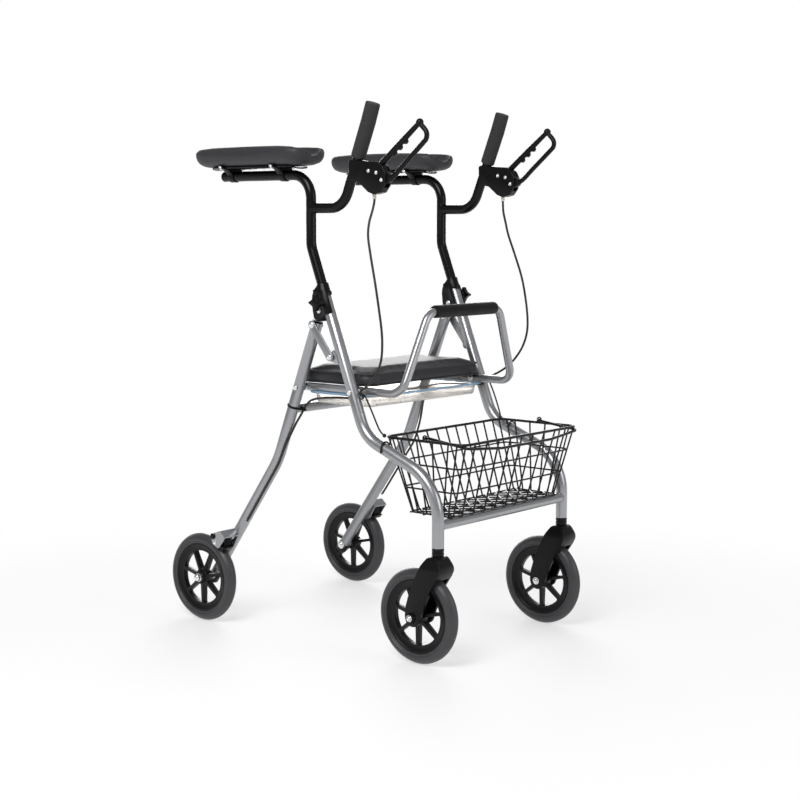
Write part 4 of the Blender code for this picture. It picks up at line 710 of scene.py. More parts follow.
class Finishes:
    """The finishes of the walker."""

    SILVER = Finish("silver_paint", "frame_silver", Grain.FLAKE, (0.36, 0.365, 0.38), 0.94, (0.27, 0.35),
                    metallic=0.85, coat=0.35, grain_scale=2600, grain_depth=0.00004, grain_strength=0.12)
    BLACK_PAINT = Finish("black_paint", "arm_black", Grain.SPRAY, (0.002, 0.002, 0.0024), 0.75, (0.2, 0.28),
                         specular=0.22, grain_scale=700, grain_depth=0.00005)
    MOULDED = Finish("black_moulding", "moulded_black", Grain.MOULD, (0.0024, 0.0024, 0.0028), 0.75,
                     (0.28, 0.38), specular=0.2, grain_scale=1500, grain_depth=0.00012, grain_strength=0.35)
    WHEEL = Finish("wheel_moulding", "wheel_black", Grain.MOULD, (0.003, 0.003, 0.0035), 0.75, (0.3, 0.4),
                   specular=0.25, grain_scale=1300, grain_depth=0.0001)
    RUBBER = Finish("tyre_rubber", "tyre_grey", Grain.RUBBER, (0.04, 0.04, 0.044), 0.86, (0.36, 0.46),
                    grain_scale=800)
    STEEL = Finish("bright_steel", "bolt_steel", Grain.DRAWN, (0.84, 0.85, 0.86), 0.92, (0.14, 0.24),
                   metallic=1.0, grain_scale=500, grain_depth=0.00004, stretch=(8, 1, 1))
    FERRULE = Finish("pale_ferrule", "bolt_steel", Grain.MOULD, (0.62, 0.57, 0.48), 0.9, (0.35, 0.45),
                     grain_depth=0.00006)
    FOAM = Finish("black_foam", "foam_black", Grain.FOAM, (0.0035, 0.0035, 0.004), 0.7, (0.48, 0.6),
                  specular=0.2, grain_scale=1100, grain_depth=0.00012, grain_strength=0.4)
    GRIP = Finish("grip_rubber", "grip_rubber", Grain.FOAM, (0.0035, 0.0035, 0.004), 0.7, (0.4, 0.52),
                  specular=0.2, grain_scale=1200, grain_depth=0.0001, grain_strength=0.4)
    PAD = Finish("pad_vinyl", "pad_vinyl", Grain.HIDE, (0.0035, 0.0035, 0.004), 0.8, (0.28, 0.38),
                 specular=0.3, grain_scale=420, grain_depth=0.00006)
    SEAT = Finish("seat_vinyl", "seat_vinyl", Grain.HIDE, (0.009, 0.009, 0.01), 0.8, (0.15, 0.22),
                  specular=0.7, coat=0.7, grain_scale=380, grain_depth=0.00008, grain_strength=0.16)
    WIRE = Finish("black_wire", "wire_black", Grain.SPRAY, (0.005, 0.005, 0.006), 0.8, (0.28, 0.38),
                  specular=0.3, grain_scale=600, grain_depth=0.0001)
    CABLE = Finish("cable_jacket", "cable_black", Grain.RUBBER, (0.022, 0.016, 0.013), 0.8, (0.38, 0.48),
                   specular=0.35, grain_depth=0.0001)
    TRAY = Finish("clear_tray", "tray_clear", Grain.CLEAR, (0.97, 0.94, 0.9), 0.98, (0.1, 0.18),
                  transmission=0.72, grain_scale=60, grain_depth=0.00004, grain_strength=0.05)
    TRAY_EDGE = Finish("tray_edge", "tray_clear", Grain.CLEAR, (0.42, 0.66, 0.92), 0.95, (0.05, 0.1),
                       transmission=0.6, grain_scale=60, grain_depth=0.00004, grain_strength=0.05)


class Assembly:
    """A sub-assembly: it dresses its pieces and hangs them on the frame's bodies."""

    @staticmethod
    def fit(piece: Piece, name: str, finish: Finish, body: str | None, *nodes: str,
            angle: float = 38.0) -> Piece:
        """Names a finished piece, gives it its finish and its body, and reports it.

        Args:
            piece: The piece, in place.
            name: Its name, which gets an ending where it stands for CAD nodes.
            finish: Its finish.
            body: The CAD body that it rides on, or nothing, which leaves it on no body.
            nodes: The CAD nodes that it stands for.
            angle: Edges sharper than this many degrees stay sharp.
        """
        take(piece)
        settle(name + "_shape" if nodes else name)
        outward(piece)
        take(piece)
        bpy.ops.object.shade_smooth_by_angle(angle=math.radians(angle))
        piece.data.materials.clear()
        piece.data.materials.append(finish.material())
        if body:
            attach(piece, body)
        if nodes:
            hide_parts(*nodes)
        LOG.info("%s on %s, %d faces", piece.name, body or "two bodies", len(piece.data.polygons))
        return piece

    @staticmethod
    def weld(foot: Vector, along: Vector, into: Vector, leg: float, radius: float,
             bead: float = 0.0013) -> Piece:
        """Returns the weld bead where a tube butts square on a leg.

        Args:
            foot: Where their axes meet.
            along: The way the leg runs.
            into: The way the tube leaves the leg.
            leg: The leg's radius.
            radius: The tube's radius.
            bead: The bead's radius.
        """
        up, out = along.normalized(), along.cross(into).normalized()
        points = []
        for index in range(32):
            turn = FULL_TURN * index / 32
            off = radius * math.sin(turn)
            rise = up * (radius * math.cos(turn))
            points.append(foot + rise + out * off + into * math.sqrt(leg ** 2 - off ** 2))
        return hoop(points, bead, 2)

    @staticmethod
    def sleeve(line: Sequence[Vector], radius: float, bulge: float, ends: dict[int, float]) -> Piece:
        """Returns a foam sleeve along a line, fullest at its middle.

        Args:
            line: The points that it follows.
            radius: Its radius.
            bulge: How much fuller its middle is, as a share of the radius.
            ends: The share of the radius at single points, counted from the first or back from the last.
        """
        last = len(line) - 1
        radii = []
        for index in range(last + 1):
            full = 1.0 + bulge * math.sin(math.pi * index / last)
            radii.append(radius * ends.get(index, ends.get(index - last - 1, full)))
        return rod(line, radii, 8, smooth_ends=False)

    @classmethod
    def cross_tube(cls, y: float, z: float, radius: float, along: Vector) -> Piece:
        """Returns a tube between the left and the right leg, with a weld bead at each end.

        Args:
            y: Its distance behind the swivel axis.
            z: Its height.
            radius: Its radius.
            along: The way the legs run there.
        """
        reach = TRACK - LEG_RADIUS * 0.6
        tube = bar(side(y, z, -reach), side(y, z, reach), radius, 36)
        beads = [cls.weld(side(y, z, hand * TRACK), along, INWARD * hand, LEG_RADIUS, radius)
                 for _, hand in SIDES]
        return join([tube, *beads])

    @classmethod
    def pair(cls, piece: Piece, name: str, finish: Finish, body: str, *nodes: str,
             angle: float = 38.0) -> list[Piece]:
        """Fits a left piece and its mirror image, and returns both.

        Args:
            piece: The left piece.
            name: Its name without a side.
            finish: Its finish.
            body: Its body, where an asterisk stands for the side.
            nodes: CAD nodes that it stands for, where an asterisk stands for the side.
            angle: Edges sharper than this many degrees stay sharp.
        """
        twin = mirrored(piece)
        return [cls.fit(thing, f"{name}_{hand}", finish, body.replace("*", hand),
                        *(node.replace("*", hand) for node in nodes), angle=angle)
                for thing, (hand, _) in zip((piece, twin), SIDES)]


@dataclass
class Wheel(Assembly):
    """A moulded wheel with a rubber tyre, about an axis along X."""

    hub: Vector
    name: str
    body: str
    tyre_width: float = 0.0285
    tyre_depth: float = 0.0222
    rim_half: float = 0.0104
    hub_radius: float = 0.015
    hub_half: float = 0.0163
    bore: float = 0.0064
    web_half: float = 0.0062
    spokes: int = 7
    spoke_half: float = 0.0037

    def build(self) -> None:
        """Makes the wheel and its tyre on both sides."""
        self.pair(self._wheel(), self.name + "_wheel", Finishes.WHEEL, self.body, self.name + "_wheel_*")
        self.pair(self._tyre(), self.name + "_tyre", Finishes.RUBBER, self.body, self.name + "_tyre_*")

    def _tyre(self) -> Piece:
        """Returns the tyre: a round crown, a shoulder line and a bead that laps the rim."""
        outer = WHEEL_RADIUS
        inner = outer - self.tyre_depth
        half = self.tyre_width / 2
        side_line = [(inner + out, self.rim_half + up) for out, up in (
            (0, 0.0002), (0.0006, 0.0014), (0.002, 0.0022), (0.0036, 0.002), (0.0046, 0.0016))]
        side_line += [(inner + out, half - down) for out, down in (
            (0.006, 0.0008), (0.0085, 0), (0.0115, 0.0004), (0.0142, 0.0017), (0.0168, 0.0038),
            (0.019, 0.0064))]
        side_line += [(outer - 0.0014, half - 0.0094), (outer, half * 0.12)]
        profile = side_line + [(r, -x) for r, x in reversed(side_line)]
        return turned(profile, self.hub, 96)

    def _wheel(self) -> Piece:
        """Returns the wheel: a channelled rim, a web with rounded windows and a bored hub."""
        outer = WHEEL_RADIUS - self.tyre_depth - 0.0004
        lip = outer - 0.0026
        inner = outer - 0.0155
        half = self.rim_half
        rim_side = [(outer, half), (lip, half), (lip - 0.0022, half - 0.0018), (inner + 0.004, half - 0.004),
                    (inner, self.web_half), (self.hub_radius + 0.004, self.web_half + 0.0006),
                    (self.hub_radius, self.web_half + 0.003),
                    (self.hub_radius - 0.0012, self.hub_half - 0.001),
                    (self.hub_radius - 0.0022, self.hub_half), (self.bore + 0.0018, self.hub_half),
                    (self.bore, self.hub_half - 0.0012)]
        profile = rim_side + [(r, -x) for r, x in reversed(rim_side)]
        wheel = turned(profile, self.hub, 84)
        for index in range(self.spokes):
            window = self._window(index, inner - 0.0012, self.hub_radius + 0.003)
            modify(wheel, "BOOLEAN", object=window, operation="DIFFERENCE", solver="EXACT")
            bpy.data.objects.remove(window)
        soften(wheel, 0.0011, 2, 50)
        return wheel

    def _window(self, index: int, outer: float, inner: float) -> Piece:
        """Returns the cutter of one window between two spokes.

        Args:
            index: Which window, from the first past the front.
            outer: Its outer radius.
            inner: Its inner radius.
        """
        pitch = FULL_TURN / self.spokes
        middle_turn = pitch * index
        corners = []
        for radius in (inner, outer):
            limit = pitch * 0.5 - math.asin((self.spoke_half * (0.85 if radius == outer else 1.1)) / radius)
            count = 6 if radius == outer else 1
            line = [limit * (2 * k / count - 1) for k in range(count + 1)]
            if radius == inner:
                line.reverse()
            turns = [middle_turn - a for a in line]
            corners += [(radius * math.sin(a), radius * math.cos(a)) for a in turns]
        outline = rounded(corners, 0.0065)
        points = [self.hub + Vector((-0.03, y, z)) for y, z in outline]
        return slab(points, Vector((0.06, 0, 0)))


@dataclass
class FrontFrame(Assembly):
    """The bent front legs with their link lugs, and the tube between their feet."""

    top_z: float = 0.752
    bottom_z: float = 0.2485
    bends: Pair = (0.08, 0.112)
    arm_bore: float = 0.0115
    bush_bore: float = 0.0104
    pivot_bore: float = 0.0053
    lug_span: Pair = (0.0076, 0.0126)
    stud_radius: float = 0.0039
    cross_z: float = 0.2942
    cross_radius: float = 0.011

    def build(self) -> None:
        """Makes the legs, the studs of the links, the cross tube and its welds."""
        self.pair(self._leg(), "front_leg", Finishes.SILVER, "front_frame", "front_leg_*")
        self.pair(self._stud(), "link_stud", Finishes.STEEL, "front_frame")
        cross_tube = self.cross_tube(0.0, self.cross_z, self.cross_radius, UP)
        self.fit(cross_tube, "front_cross_tube", Finishes.SILVER, "front_frame", "front_cross_tube")

    def _leg(self) -> Piece:
        """Returns a leg tube with its bores, and the lug that its link turns on."""
        top = side(leg_y(self.top_z), self.top_z)
        corners = [top, side(*FRONT_KNEE), side(*FRONT_ANKLE), side(0.0, self.bottom_z)]
        leg = tube(corners, self.bends, LEG_RADIUS, 36, 4)
        axis = (top - side(*SEAT_PIVOT)).normalized()
        cuts = [bar(side(*SEAT_PIVOT) + axis * 0.04, top + axis * 0.01, self.arm_bore, 36),
                bar(side(0.0, self.bottom_z - 0.01), side(0.0, self.bottom_z + 0.032), self.bush_bore, 36),
                across(*SEAT_PIVOT, TRACK - 0.03, TRACK + 0.03, self.pivot_bore, 24)]
        combine(leg, cuts, "DIFFERENCE")
        soften(leg, 0.0004, 2, 60)
        y, z = LINK_FOOT
        outline = [(y + 0.0065, z + 0.006), (y + 0.003, z + 0.009), (leg_y(z + 0.017) + 0.006, z + 0.017),
                   (leg_y(z - 0.016) + 0.006, z - 0.016), (y + 0.003, z - 0.009), (y + 0.0075, z - 0.004)]
        lug = plate(rounded(outline, 0.004), *self.lug_span, bevel=0.0007)
        return combine(leg, [lug])

    def _stud(self) -> Piece:
        """Returns the bright stud that the link turns on, with its head outside the link."""
        y, z = LINK_FOOT
        shank = across(y, z, TRACK + 0.01, LINK_FACE + 0.0003, self.stud_radius, 24)
        head = bolt_head(side(y, z, LINK_FACE + 0.0002), OUTWARD, 0.0047, 0.0029)
        return join([shank, head])


@dataclass
class Caster(Assembly):
    """A swivel fork with its stem and bush, and the axle bolt of its wheel."""

    top_z: float = 0.231
    half_width: float = 0.0258
    taper: float = 0.34
    taper_z: float = 0.204
    blade: float = 0.0062
    stem_radius: float = 0.006
    stem_top: float = 0.2785
    seat_radius: float = 0.0135
    slot_gap: float = 0.004
    leg_foot_z: float = 0.2485
    bush_radius: float = 0.0125
    spigot_radius: float = 0.01
    spigot_length: float = 0.026
    bore: float = 0.0064
    axle_radius: float = 0.006
    boss_reach: float = 0.0058
    bolt_reach: float = 0.005

    def build(self) -> None:
        """Makes the fork, the bush and the axle on both sides."""
        self.pair(self._fork(), "fork", Finishes.MOULDED, "caster_*", "fork_*")
        self.pair(self._bush(), "stem_bush", Finishes.MOULDED, "front_frame", "stem_bush_*")
        self.pair(self._axle(), "front_axle", Finishes.STEEL, "caster_*", "front_axle_*")

    def _fork(self) -> Piece:
        """Returns the fork: a squarish crown, two curved blades, a stem and the collar at its foot."""
        outline = [(-0.015, self.top_z), (-0.0215, 0.213), (-0.0225, 0.201), (-0.016, 0.188), (-0.001, 0.166),
                   (0.014, 0.133), (0.025, 0.105), (0.031, 0.088), (0.04, 0.0815), (0.052, 0.0815),
                   (0.062, 0.088), (0.0665, 0.101), (0.064, 0.123), (0.054, 0.156), (0.039, 0.188),
                   (0.027, 0.212), (0.015, self.top_z)]
        body = plate(rounded(outline, 0.03, 3), -self.half_width, self.half_width)
        score(body, [self.taper_z + 0.003 * step for step in range(9)])
        for vert in body.data.vertices:
            rise = min(1.0, max(0.0, (vert.co.z - self.taper_z) / (self.top_z - self.taper_z)))
            vert.co.x = TRACK + (vert.co.x - TRACK) * (1 - self.taper * rise * rise * (3 - 2 * rise))
        inner = self.half_width - self.blade
        wheel_slot = across(*FRONT_AXLE, TRACK - inner, TRACK + inner, WHEEL_RADIUS + self.slot_gap, 72)
        combine(body, [wheel_slot], "DIFFERENCE")
        soften(body, 0.0016, 3, 35)
        axle_bore = across(*FRONT_AXLE, TRACK - 0.04, TRACK + 0.04, self.bore, 28)
        combine(body, [axle_bore], "DIFFERENCE")
        foot = side(0.0, self.top_z - 0.006)
        collar = [(0.0, 0.0), (self.seat_radius + 0.0022, 0.0), (self.seat_radius + 0.0022, 0.0052),
                  (self.seat_radius + 0.0012, 0.0061), (self.seat_radius, 0.0064), (self.seat_radius, 0.007),
                  (self.seat_radius - 0.0004, 0.0072), (0.0, 0.0072)]
        stem = bar(side(0.0, self.top_z - 0.01), side(0.0, self.stem_top), self.stem_radius, 28, 0.0006)
        face = side(*FRONT_AXLE, TRACK + self.half_width - 0.001)
        boss = [(self.bore, 0.0), (0.0112, 0.0), (0.0104, 0.003), (0.0092, 0.0062), (0.0086, 0.0068),
                (self.bore, 0.0068)]
        return join([body, turned(collar, foot, 48, UP), stem, turned(boss, face, 36)])

    def _bush(self) -> Piece:
        """Returns the bush in the foot of the leg."""
        low = self.top_z + 0.0015
        height, radius, spigot = self.leg_foot_z - low, self.bush_radius, self.spigot_radius
        top = height + self.spigot_length
        groove = radius - 0.0007
        profile = [(self.bore, 0.0), (radius - 0.001, 0.0), (radius, 0.001), (radius, height * 0.42),
                   (groove, height * 0.46), (groove, height * 0.54), (radius, height * 0.58),
                   (radius, height - 0.0013), (radius - 0.0008, height - 0.0003), (spigot, height - 0.0003),
                   (spigot, top - 0.001), (spigot - 0.001, top), (self.bore, top)]
        return turned(profile, side(0.0, low), 48, UP)

    def _axle(self) -> Piece:
        """Returns the axle bolt with a domed head outside and a nut inside."""
        low, high = TRACK - self.half_width - 0.0003, TRACK + self.half_width + self.boss_reach + 0.0003
        shank = across(*FRONT_AXLE, low - 0.001, high + 0.001, self.axle_radius, 28)
        head = bolt_head(side(*FRONT_AXLE, high), OUTWARD, 0.0054, self.bolt_reach)
        end = nut(side(*FRONT_AXLE, low), INWARD, 0.0068, self.bolt_reach)
        return join([shank, head, end])


@dataclass
class RearFrame(Assembly):
    """The rear legs, the tube between them, the wheel axles, and the brakes over the tyres."""

    bend: float = 0.2
    top_reach: float = 0.006
    foot_reach: float = 0.013
    cross_z: float = 0.502
    cross_radius: float = 0.01
    boss_radius: float = 0.0105
    axle_radius: float = 0.006
    head_radius: float = 0.00738
    hub_half: float = 0.0165
    fixing_z: float = 0.1965
    sheet: float = 0.0025
    bracket_span: Pair = (0.0122, 0.0572)
    shoe_pivot: Pair = (0.6, 0.2035)
    shoe_stop: float = 0.0014
    shoe_thickness: float = 0.01
    shoe_arc: Pair = (117.0, 137.0)
    shoe_swing: float = 3.2
    shoe_half: float = 0.0145

    def build(self) -> None:
        """Makes the legs with their plugs, the cross tube, the axles, the brackets and the shoes."""
        self.pair(self._leg(), "rear_leg", Finishes.SILVER, "rear_frame", "rear_leg_*")
        self.pair(self._plugs(), "rear_leg_plugs", Finishes.MOULDED, "rear_frame")
        self.pair(self._top_bolt(), "link_bolt_inner", Finishes.STEEL, "rear_frame")
        cross_y = line_y(REAR_PIVOT, REAR_KNEE, self.cross_z)
        cross_tube = self.cross_tube(cross_y, self.cross_z, self.cross_radius,
                                     side(*LINK_TOP) - side(*REAR_PIVOT))
        self.fit(cross_tube, "rear_cross_tube", Finishes.SILVER, "rear_frame", "rear_cross_tube")
        self.pair(self._axle(), "rear_axle", Finishes.STEEL, "rear_frame", "rear_axle_*")
        self.pair(self._bracket(), "brake_bracket", Finishes.SILVER, "rear_frame", "brake_bracket_*")
        self.pair(self._bracket_pins(), "brake_pins", Finishes.STEEL, "rear_frame")
        self.pair(self._pin_cap(), "brake_pin_cap", Finishes.MOULDED, "rear_frame")
        self.pair(self._shoe(), "brake_shoe", Finishes.MOULDED, "shoe_*", "brake_shoe_*")

    def _ends(self) -> tuple[Vector, Vector, Vector, Vector]:
        """Returns the leg's top end and the way it points, and its foot end and the way that points."""
        up = (side(*LINK_TOP) - side(*REAR_PIVOT)).normalized()
        axle = side(*REAR_AXLE)
        down = (axle - side(*REAR_KNEE)).normalized()
        return side(*LINK_TOP) + up * self.top_reach, up, axle + down * self.foot_reach, down

    def _leg(self) -> Piece:
        """Returns a rear leg tube with the boss of its axle, its link bolt and its bores."""
        top, _, foot, _ = self._ends()
        leg = tube([top, side(*REAR_KNEE), foot], [self.bend], LEG_RADIUS, 36, 3)
        boss = across(*REAR_AXLE, TRACK - LEG_RADIUS - 0.0002, REAR_HUB.x - self.hub_half - PLAY,
                      self.boss_radius, 34)
        bolt = across(*LINK_TOP, TRACK - 0.008, LINK_FACE - 0.0046, 0.0065, 32)
        combine(leg, [boss, bolt])
        cuts = [across(*REAR_AXLE, TRACK - 0.04, TRACK + 0.05, self.axle_radius + PLAY, 28),
                across(*REAR_PIVOT, TRACK - 0.03, TRACK + 0.03, 0.0055, 24)]
        combine(leg, cuts, "DIFFERENCE")
        soften(leg, 0.0005, 2, 60)
        return leg

    def _plugs(self) -> Piece:
        """Returns the black plugs in the leg's two ends."""
        top, up, foot, down = self._ends()
        profile = [(0.0, -0.006), (0.0112, -0.006), (0.0112, 0.0), (0.0123, 0.0001), (0.0123, 0.0009),
                   (0.0108, 0.0021), (0.007, 0.0028), (0.0, 0.003)]
        sleeve = [(0.0126, -0.0165), (0.0138, -0.016), (0.0138, 0.0024), (0.0126, 0.004), (0.009, 0.0052),
                  (0.0, 0.0056), (0.0, 0.0004), (0.0126, 0.0004)]
        return join([turned(profile, top, 36, up), turned(sleeve, foot, 36, down)])

    def _top_bolt(self) -> Piece:
        """Returns the head of the link bolt on the inner side of the leg."""
        return bolt_head(side(*LINK_TOP, TRACK - LEG_RADIUS + 0.0008), INWARD, 0.006, 0.0052)

    def _axle(self) -> Piece:
        """Returns the wheel's axle with a domed nut outside and a head on the inner side of the leg."""
        low = TRACK - LEG_RADIUS - 0.0003
        high = REAR_HUB.x + self.hub_half + PLAY
        shank = across(*REAR_AXLE, low - 0.001, high + 0.001, self.axle_radius, 28)
        cap = [(0.0, 0.0), (0.0098, 0.0), (0.0098, 0.0012), (0.0086, 0.0016), (0.0084, 0.0052),
               (0.0072, 0.0082), (0.0048, 0.0102), (0.002, 0.011), (0.0, 0.0111)]
        nut = turned(cap, side(*REAR_AXLE, high), 32)
        head = bolt_head(side(*REAR_AXLE, low), INWARD, self.head_radius, 0.0052)
        return join([shank, nut, head])

    def _bracket(self) -> Piece:
        """Returns the folded sheet over the tyre: a roof, a flange on the leg and an outer cheek."""
        low_x, high_x = self.bracket_span
        roof = plate([(0.578, 0.2175), (0.563, 0.204), (0.5645, 0.202), (0.5797, 0.2157)], low_x, high_x)
        cheek = [(0.578, 0.2175), (0.563, 0.204), (0.58, 0.1795), (0.586, 0.1775), (0.602, 0.186),
                 (0.6065, 0.2), (0.604, 0.2085), (0.596, 0.21), (0.586, 0.2155)]
        flange = [(0.578, 0.2175), (0.563, 0.204), (0.579, 0.174), (0.589, 0.169), (0.606, 0.18),
                  (0.6065, 0.2), (0.604, 0.2085), (0.593, 0.211)]
        walls = [plate(rounded(flange, 0.004, 3), low_x, low_x + self.sheet),
                 plate(rounded(cheek, 0.004, 3), high_x - self.sheet, high_x)]
        bracket = combine(roof, walls)
        soften(bracket, 0.0007, 3, 50)
        return bracket

    def _bracket_pins(self) -> Piece:
        """Returns the pin of the shoe, and the bolt that fixes the bracket to the leg."""
        low_x, high_x = (TRACK + reach for reach in self.bracket_span)
        pin = across(*self.shoe_pivot, low_x + 0.001, high_x + 0.0004, 0.003, 20)
        screw = bolt_head(side(0.5945, 0.189, high_x), OUTWARD, 0.0036, 0.0026)
        z = self.fixing_z
        fixing = bolt_head(side(line_y(REAR_KNEE, REAR_AXLE, z) - 0.003, z, low_x + self.sheet), OUTWARD,
                           0.0046, 0.0034)
        return join([pin, screw, fixing])

    def _pin_cap(self) -> Piece:
        """Returns the black cap on the outer end of the shoe's pin."""
        profile = [(0.0, 0.0), (0.0068, 0.0), (0.0068, 0.0022), (0.0056, 0.0036), (0.003, 0.0042),
                   (0.0, 0.0043)]
        return turned(profile, side(*self.shoe_pivot, TRACK + self.bracket_span[1] - 0.0002), 28)

    def _shoe(self) -> Piece:
        """Returns the shoe at rest, swung clear of the tyre: a curved pad, an arm and a boss."""
        face = WHEEL_RADIUS + self.shoe_stop
        low = arc(REAR_AXLE, face, *self.shoe_arc, 12)
        high = arc(REAR_AXLE, face + self.shoe_thickness, *reversed(self.shoe_arc), 10)
        y, z = self.shoe_pivot
        arm = [(y + 0.006, z - 0.0035), (y - 0.004, z + 0.006), (y - 0.023, z - 0.005),
               (y - 0.0225, z - 0.0235), (y + 0.004, z - 0.012)]
        middle_x = REAR_HUB.x - TRACK + 0.0002
        pad = plate(self._swung(low + high), middle_x - self.shoe_half, middle_x + self.shoe_half)
        web = plate(self._swung(arm), middle_x - self.shoe_half + 0.004, middle_x + self.shoe_half - 0.004)
        boss = across(y, z, REAR_HUB.x - self.shoe_half, REAR_HUB.x + self.shoe_half, 0.0068, 32)
        combine(pad, [web, boss])
        soften(pad, 0.001, 2, 45)
        bore = across(y, z, REAR_HUB.x - 0.03, REAR_HUB.x + 0.03, 0.0034, 20)
        return combine(pad, [bore], "DIFFERENCE")

    def _swung(self, outline: Sequence[Pair]) -> list[Pair]:
        """Returns an outline turned about the shoe's pin to where the shoe rests."""
        turn = Matrix.Rotation(math.radians(-self.shoe_swing), 2)
        pivot = Vector(self.shoe_pivot)
        return [tuple(turn @ (Vector(point) - pivot) + pivot) for point in outline]


@dataclass
class FoldLink(Assembly):
    """The short link between a front leg and the top of a rear leg."""

    thickness: float = 0.004
    half_width: float = 0.009
    foot_bore: float = 0.0044
    eye: float = 0.004

    def build(self) -> None:
        """Makes the links, and the bolts whose heads lie on their tops."""
        self.pair(self._link(), "fold_link", Finishes.SILVER, "link_*", "fold_link_*")
        self.pair(self._bolt(), "link_bolt_outer", Finishes.STEEL, "link_*")

    def _link(self) -> Piece:
        """Returns a flat link with round ends."""
        run = Vector(LINK_TOP) - Vector(LINK_FOOT)
        lean = math.degrees(math.atan2(run.y, run.x))
        outline = (arc(LINK_TOP, self.half_width, lean - 90, lean + 90, 14)
                   + arc(LINK_FOOT, self.half_width, lean + 90, lean + 270, 14))
        face = LINK_FACE - TRACK
        link = plate(outline, face - self.thickness, face, bevel=0.0009, segments=3)
        bore = across(*LINK_FOOT, TRACK, TRACK + 0.03, self.foot_bore, 24)
        return combine(link, [bore], "DIFFERENCE")

    def _bolt(self) -> Piece:
        """Returns the bright bolt head on the top of the link."""
        head = bolt_head(side(*LINK_TOP, LINK_FACE - 0.0002), OUTWARD, 0.0056, 0.0034)
        shank = across(*LINK_TOP, LINK_FACE - self.thickness + 0.0002, LINK_FACE, self.eye, 20)
        return join([head, shank])


@dataclass
class SeatFrame(Assembly):
    """The seat's rails, which rise in front into the lifting loop with its foam grip."""

    rear_y: float = 0.3945
    front_y: float = 0.12
    loop_top: Triple = (0.1226, 0.106, 0.7185)
    low_bend: float = 0.034
    top_bend: float = 0.035
    grip_half: float = 0.109
    grip_radius: float = 0.0135
    collar_radius: float = 0.008
    pin_radius: float = 0.005

    def build(self) -> None:
        """Makes the frame, its rear pins, its plugs, the pivots in the front legs and the foam grip."""
        self.fit(self._frame(), "seat_frame", Finishes.SILVER, "seat", "seat_frame")
        self.pair(self._rear_pin(), "seat_pin", Finishes.STEEL, "seat")
        self.pair(self._plug(), "rail_plug", Finishes.MOULDED, "seat")
        self.pair(self._pivot(), "seat_pivot", Finishes.STEEL, "front_frame", "seat_pivot_*")
        grip = self.fit(self._grip(), "loop_grip", Finishes.FOAM, "seat", "loop_grip")

    def _frame(self) -> Piece:
        """Returns the bent tube with the holes of its front pivots."""
        top_x, top_y, top_z = self.loop_top
        half = [side(self.rear_y, RAIL_Z, RAIL_X), side(self.front_y, RAIL_Z, RAIL_X),
                side(top_y, top_z, top_x)]
        bends = (self.low_bend, self.top_bend, self.top_bend, self.low_bend)
        frame = tube(both_sides(half), bends, RAIL_RADIUS, 32, 6)
        holes = [across(*SEAT_PIVOT, hand * RAIL_X - 0.03, hand * RAIL_X + 0.03,
                        self.pin_radius + PLAY, 24) for _, hand in SIDES]
        combine(frame, holes, "DIFFERENCE")
        soften(frame, 0.0004, 2, 60)
        return frame

    def _rear_pin(self) -> Piece:
        """Returns the pin that the rear leg turns on, with its collar and its domed head."""
        y, z = REAR_PIVOT
        face = TRACK + LEG_RADIUS + PLAY
        collar = across(y, z, RAIL_X, TRACK - LEG_RADIUS - PLAY, self.collar_radius, 32, 0.0005)
        shank = across(y, z, RAIL_X, face + 0.0005, self.pin_radius, 24)
        head = bolt_head(side(y, z, face), OUTWARD, 0.0046, 0.0026)
        inner = bolt_head(side(y, z, RAIL_X - RAIL_RADIUS + 0.0006), INWARD, 0.0056, 0.0036)
        return join([collar, shank, head, inner])

    def _plug(self) -> Piece:
        """Returns the plug in the rear end of a rail."""
        profile = [(0.0, -0.006), (0.0078, -0.006), (0.0078, 0.0), (0.0089, 0.0001), (0.0089, 0.0008),
                   (0.0076, 0.0019), (0.0045, 0.0025), (0.0, 0.0026)]
        return turned(profile, side(self.rear_y, RAIL_Z, RAIL_X), 32, REARWARD)

    def _pivot(self) -> Piece:
        """Returns a front pivot bolt with the spacer collar between rail and leg."""
        y, z = SEAT_PIVOT
        inner = RAIL_X - RAIL_RADIUS - 0.0003
        outer = TRACK + LEG_RADIUS + 0.0003
        shank = across(y, z, inner - 0.001, outer + 0.001, self.pin_radius, 24)
        collar = across(y, z, RAIL_X + RAIL_RADIUS + PLAY, TRACK - LEG_RADIUS - 0.0002,
                        self.collar_radius, 32, 0.0005)
        head = bolt_head(side(y, z, outer), OUTWARD, 0.0046, 0.0026)
        nut = bolt_head(side(y, z, inner), INWARD, 0.0058, 0.004)
        return join([shank, collar, head, nut])

    def _grip(self) -> Piece:
        """Returns the foam sleeve on the loop's top, a little pinched at its ends."""
        top_x, top_y, top_z = self.loop_top
        corners = both_sides([side(self.front_y, RAIL_Z, RAIL_X), side(top_y, top_z, top_x)])
        line = smoothed(filleted(corners, (self.top_bend, self.top_bend), 6), 0.003)
        travel = travelled(line)
        middle_length = travel[-1] / 2
        line = [p for p, d in zip(line, travel) if abs(d - middle_length) <= self.grip_half]
        return self.sleeve(line, self.grip_radius, 0.012, {0: 0.86, 1: 0.97, -2: 0.97, -1: 0.86})


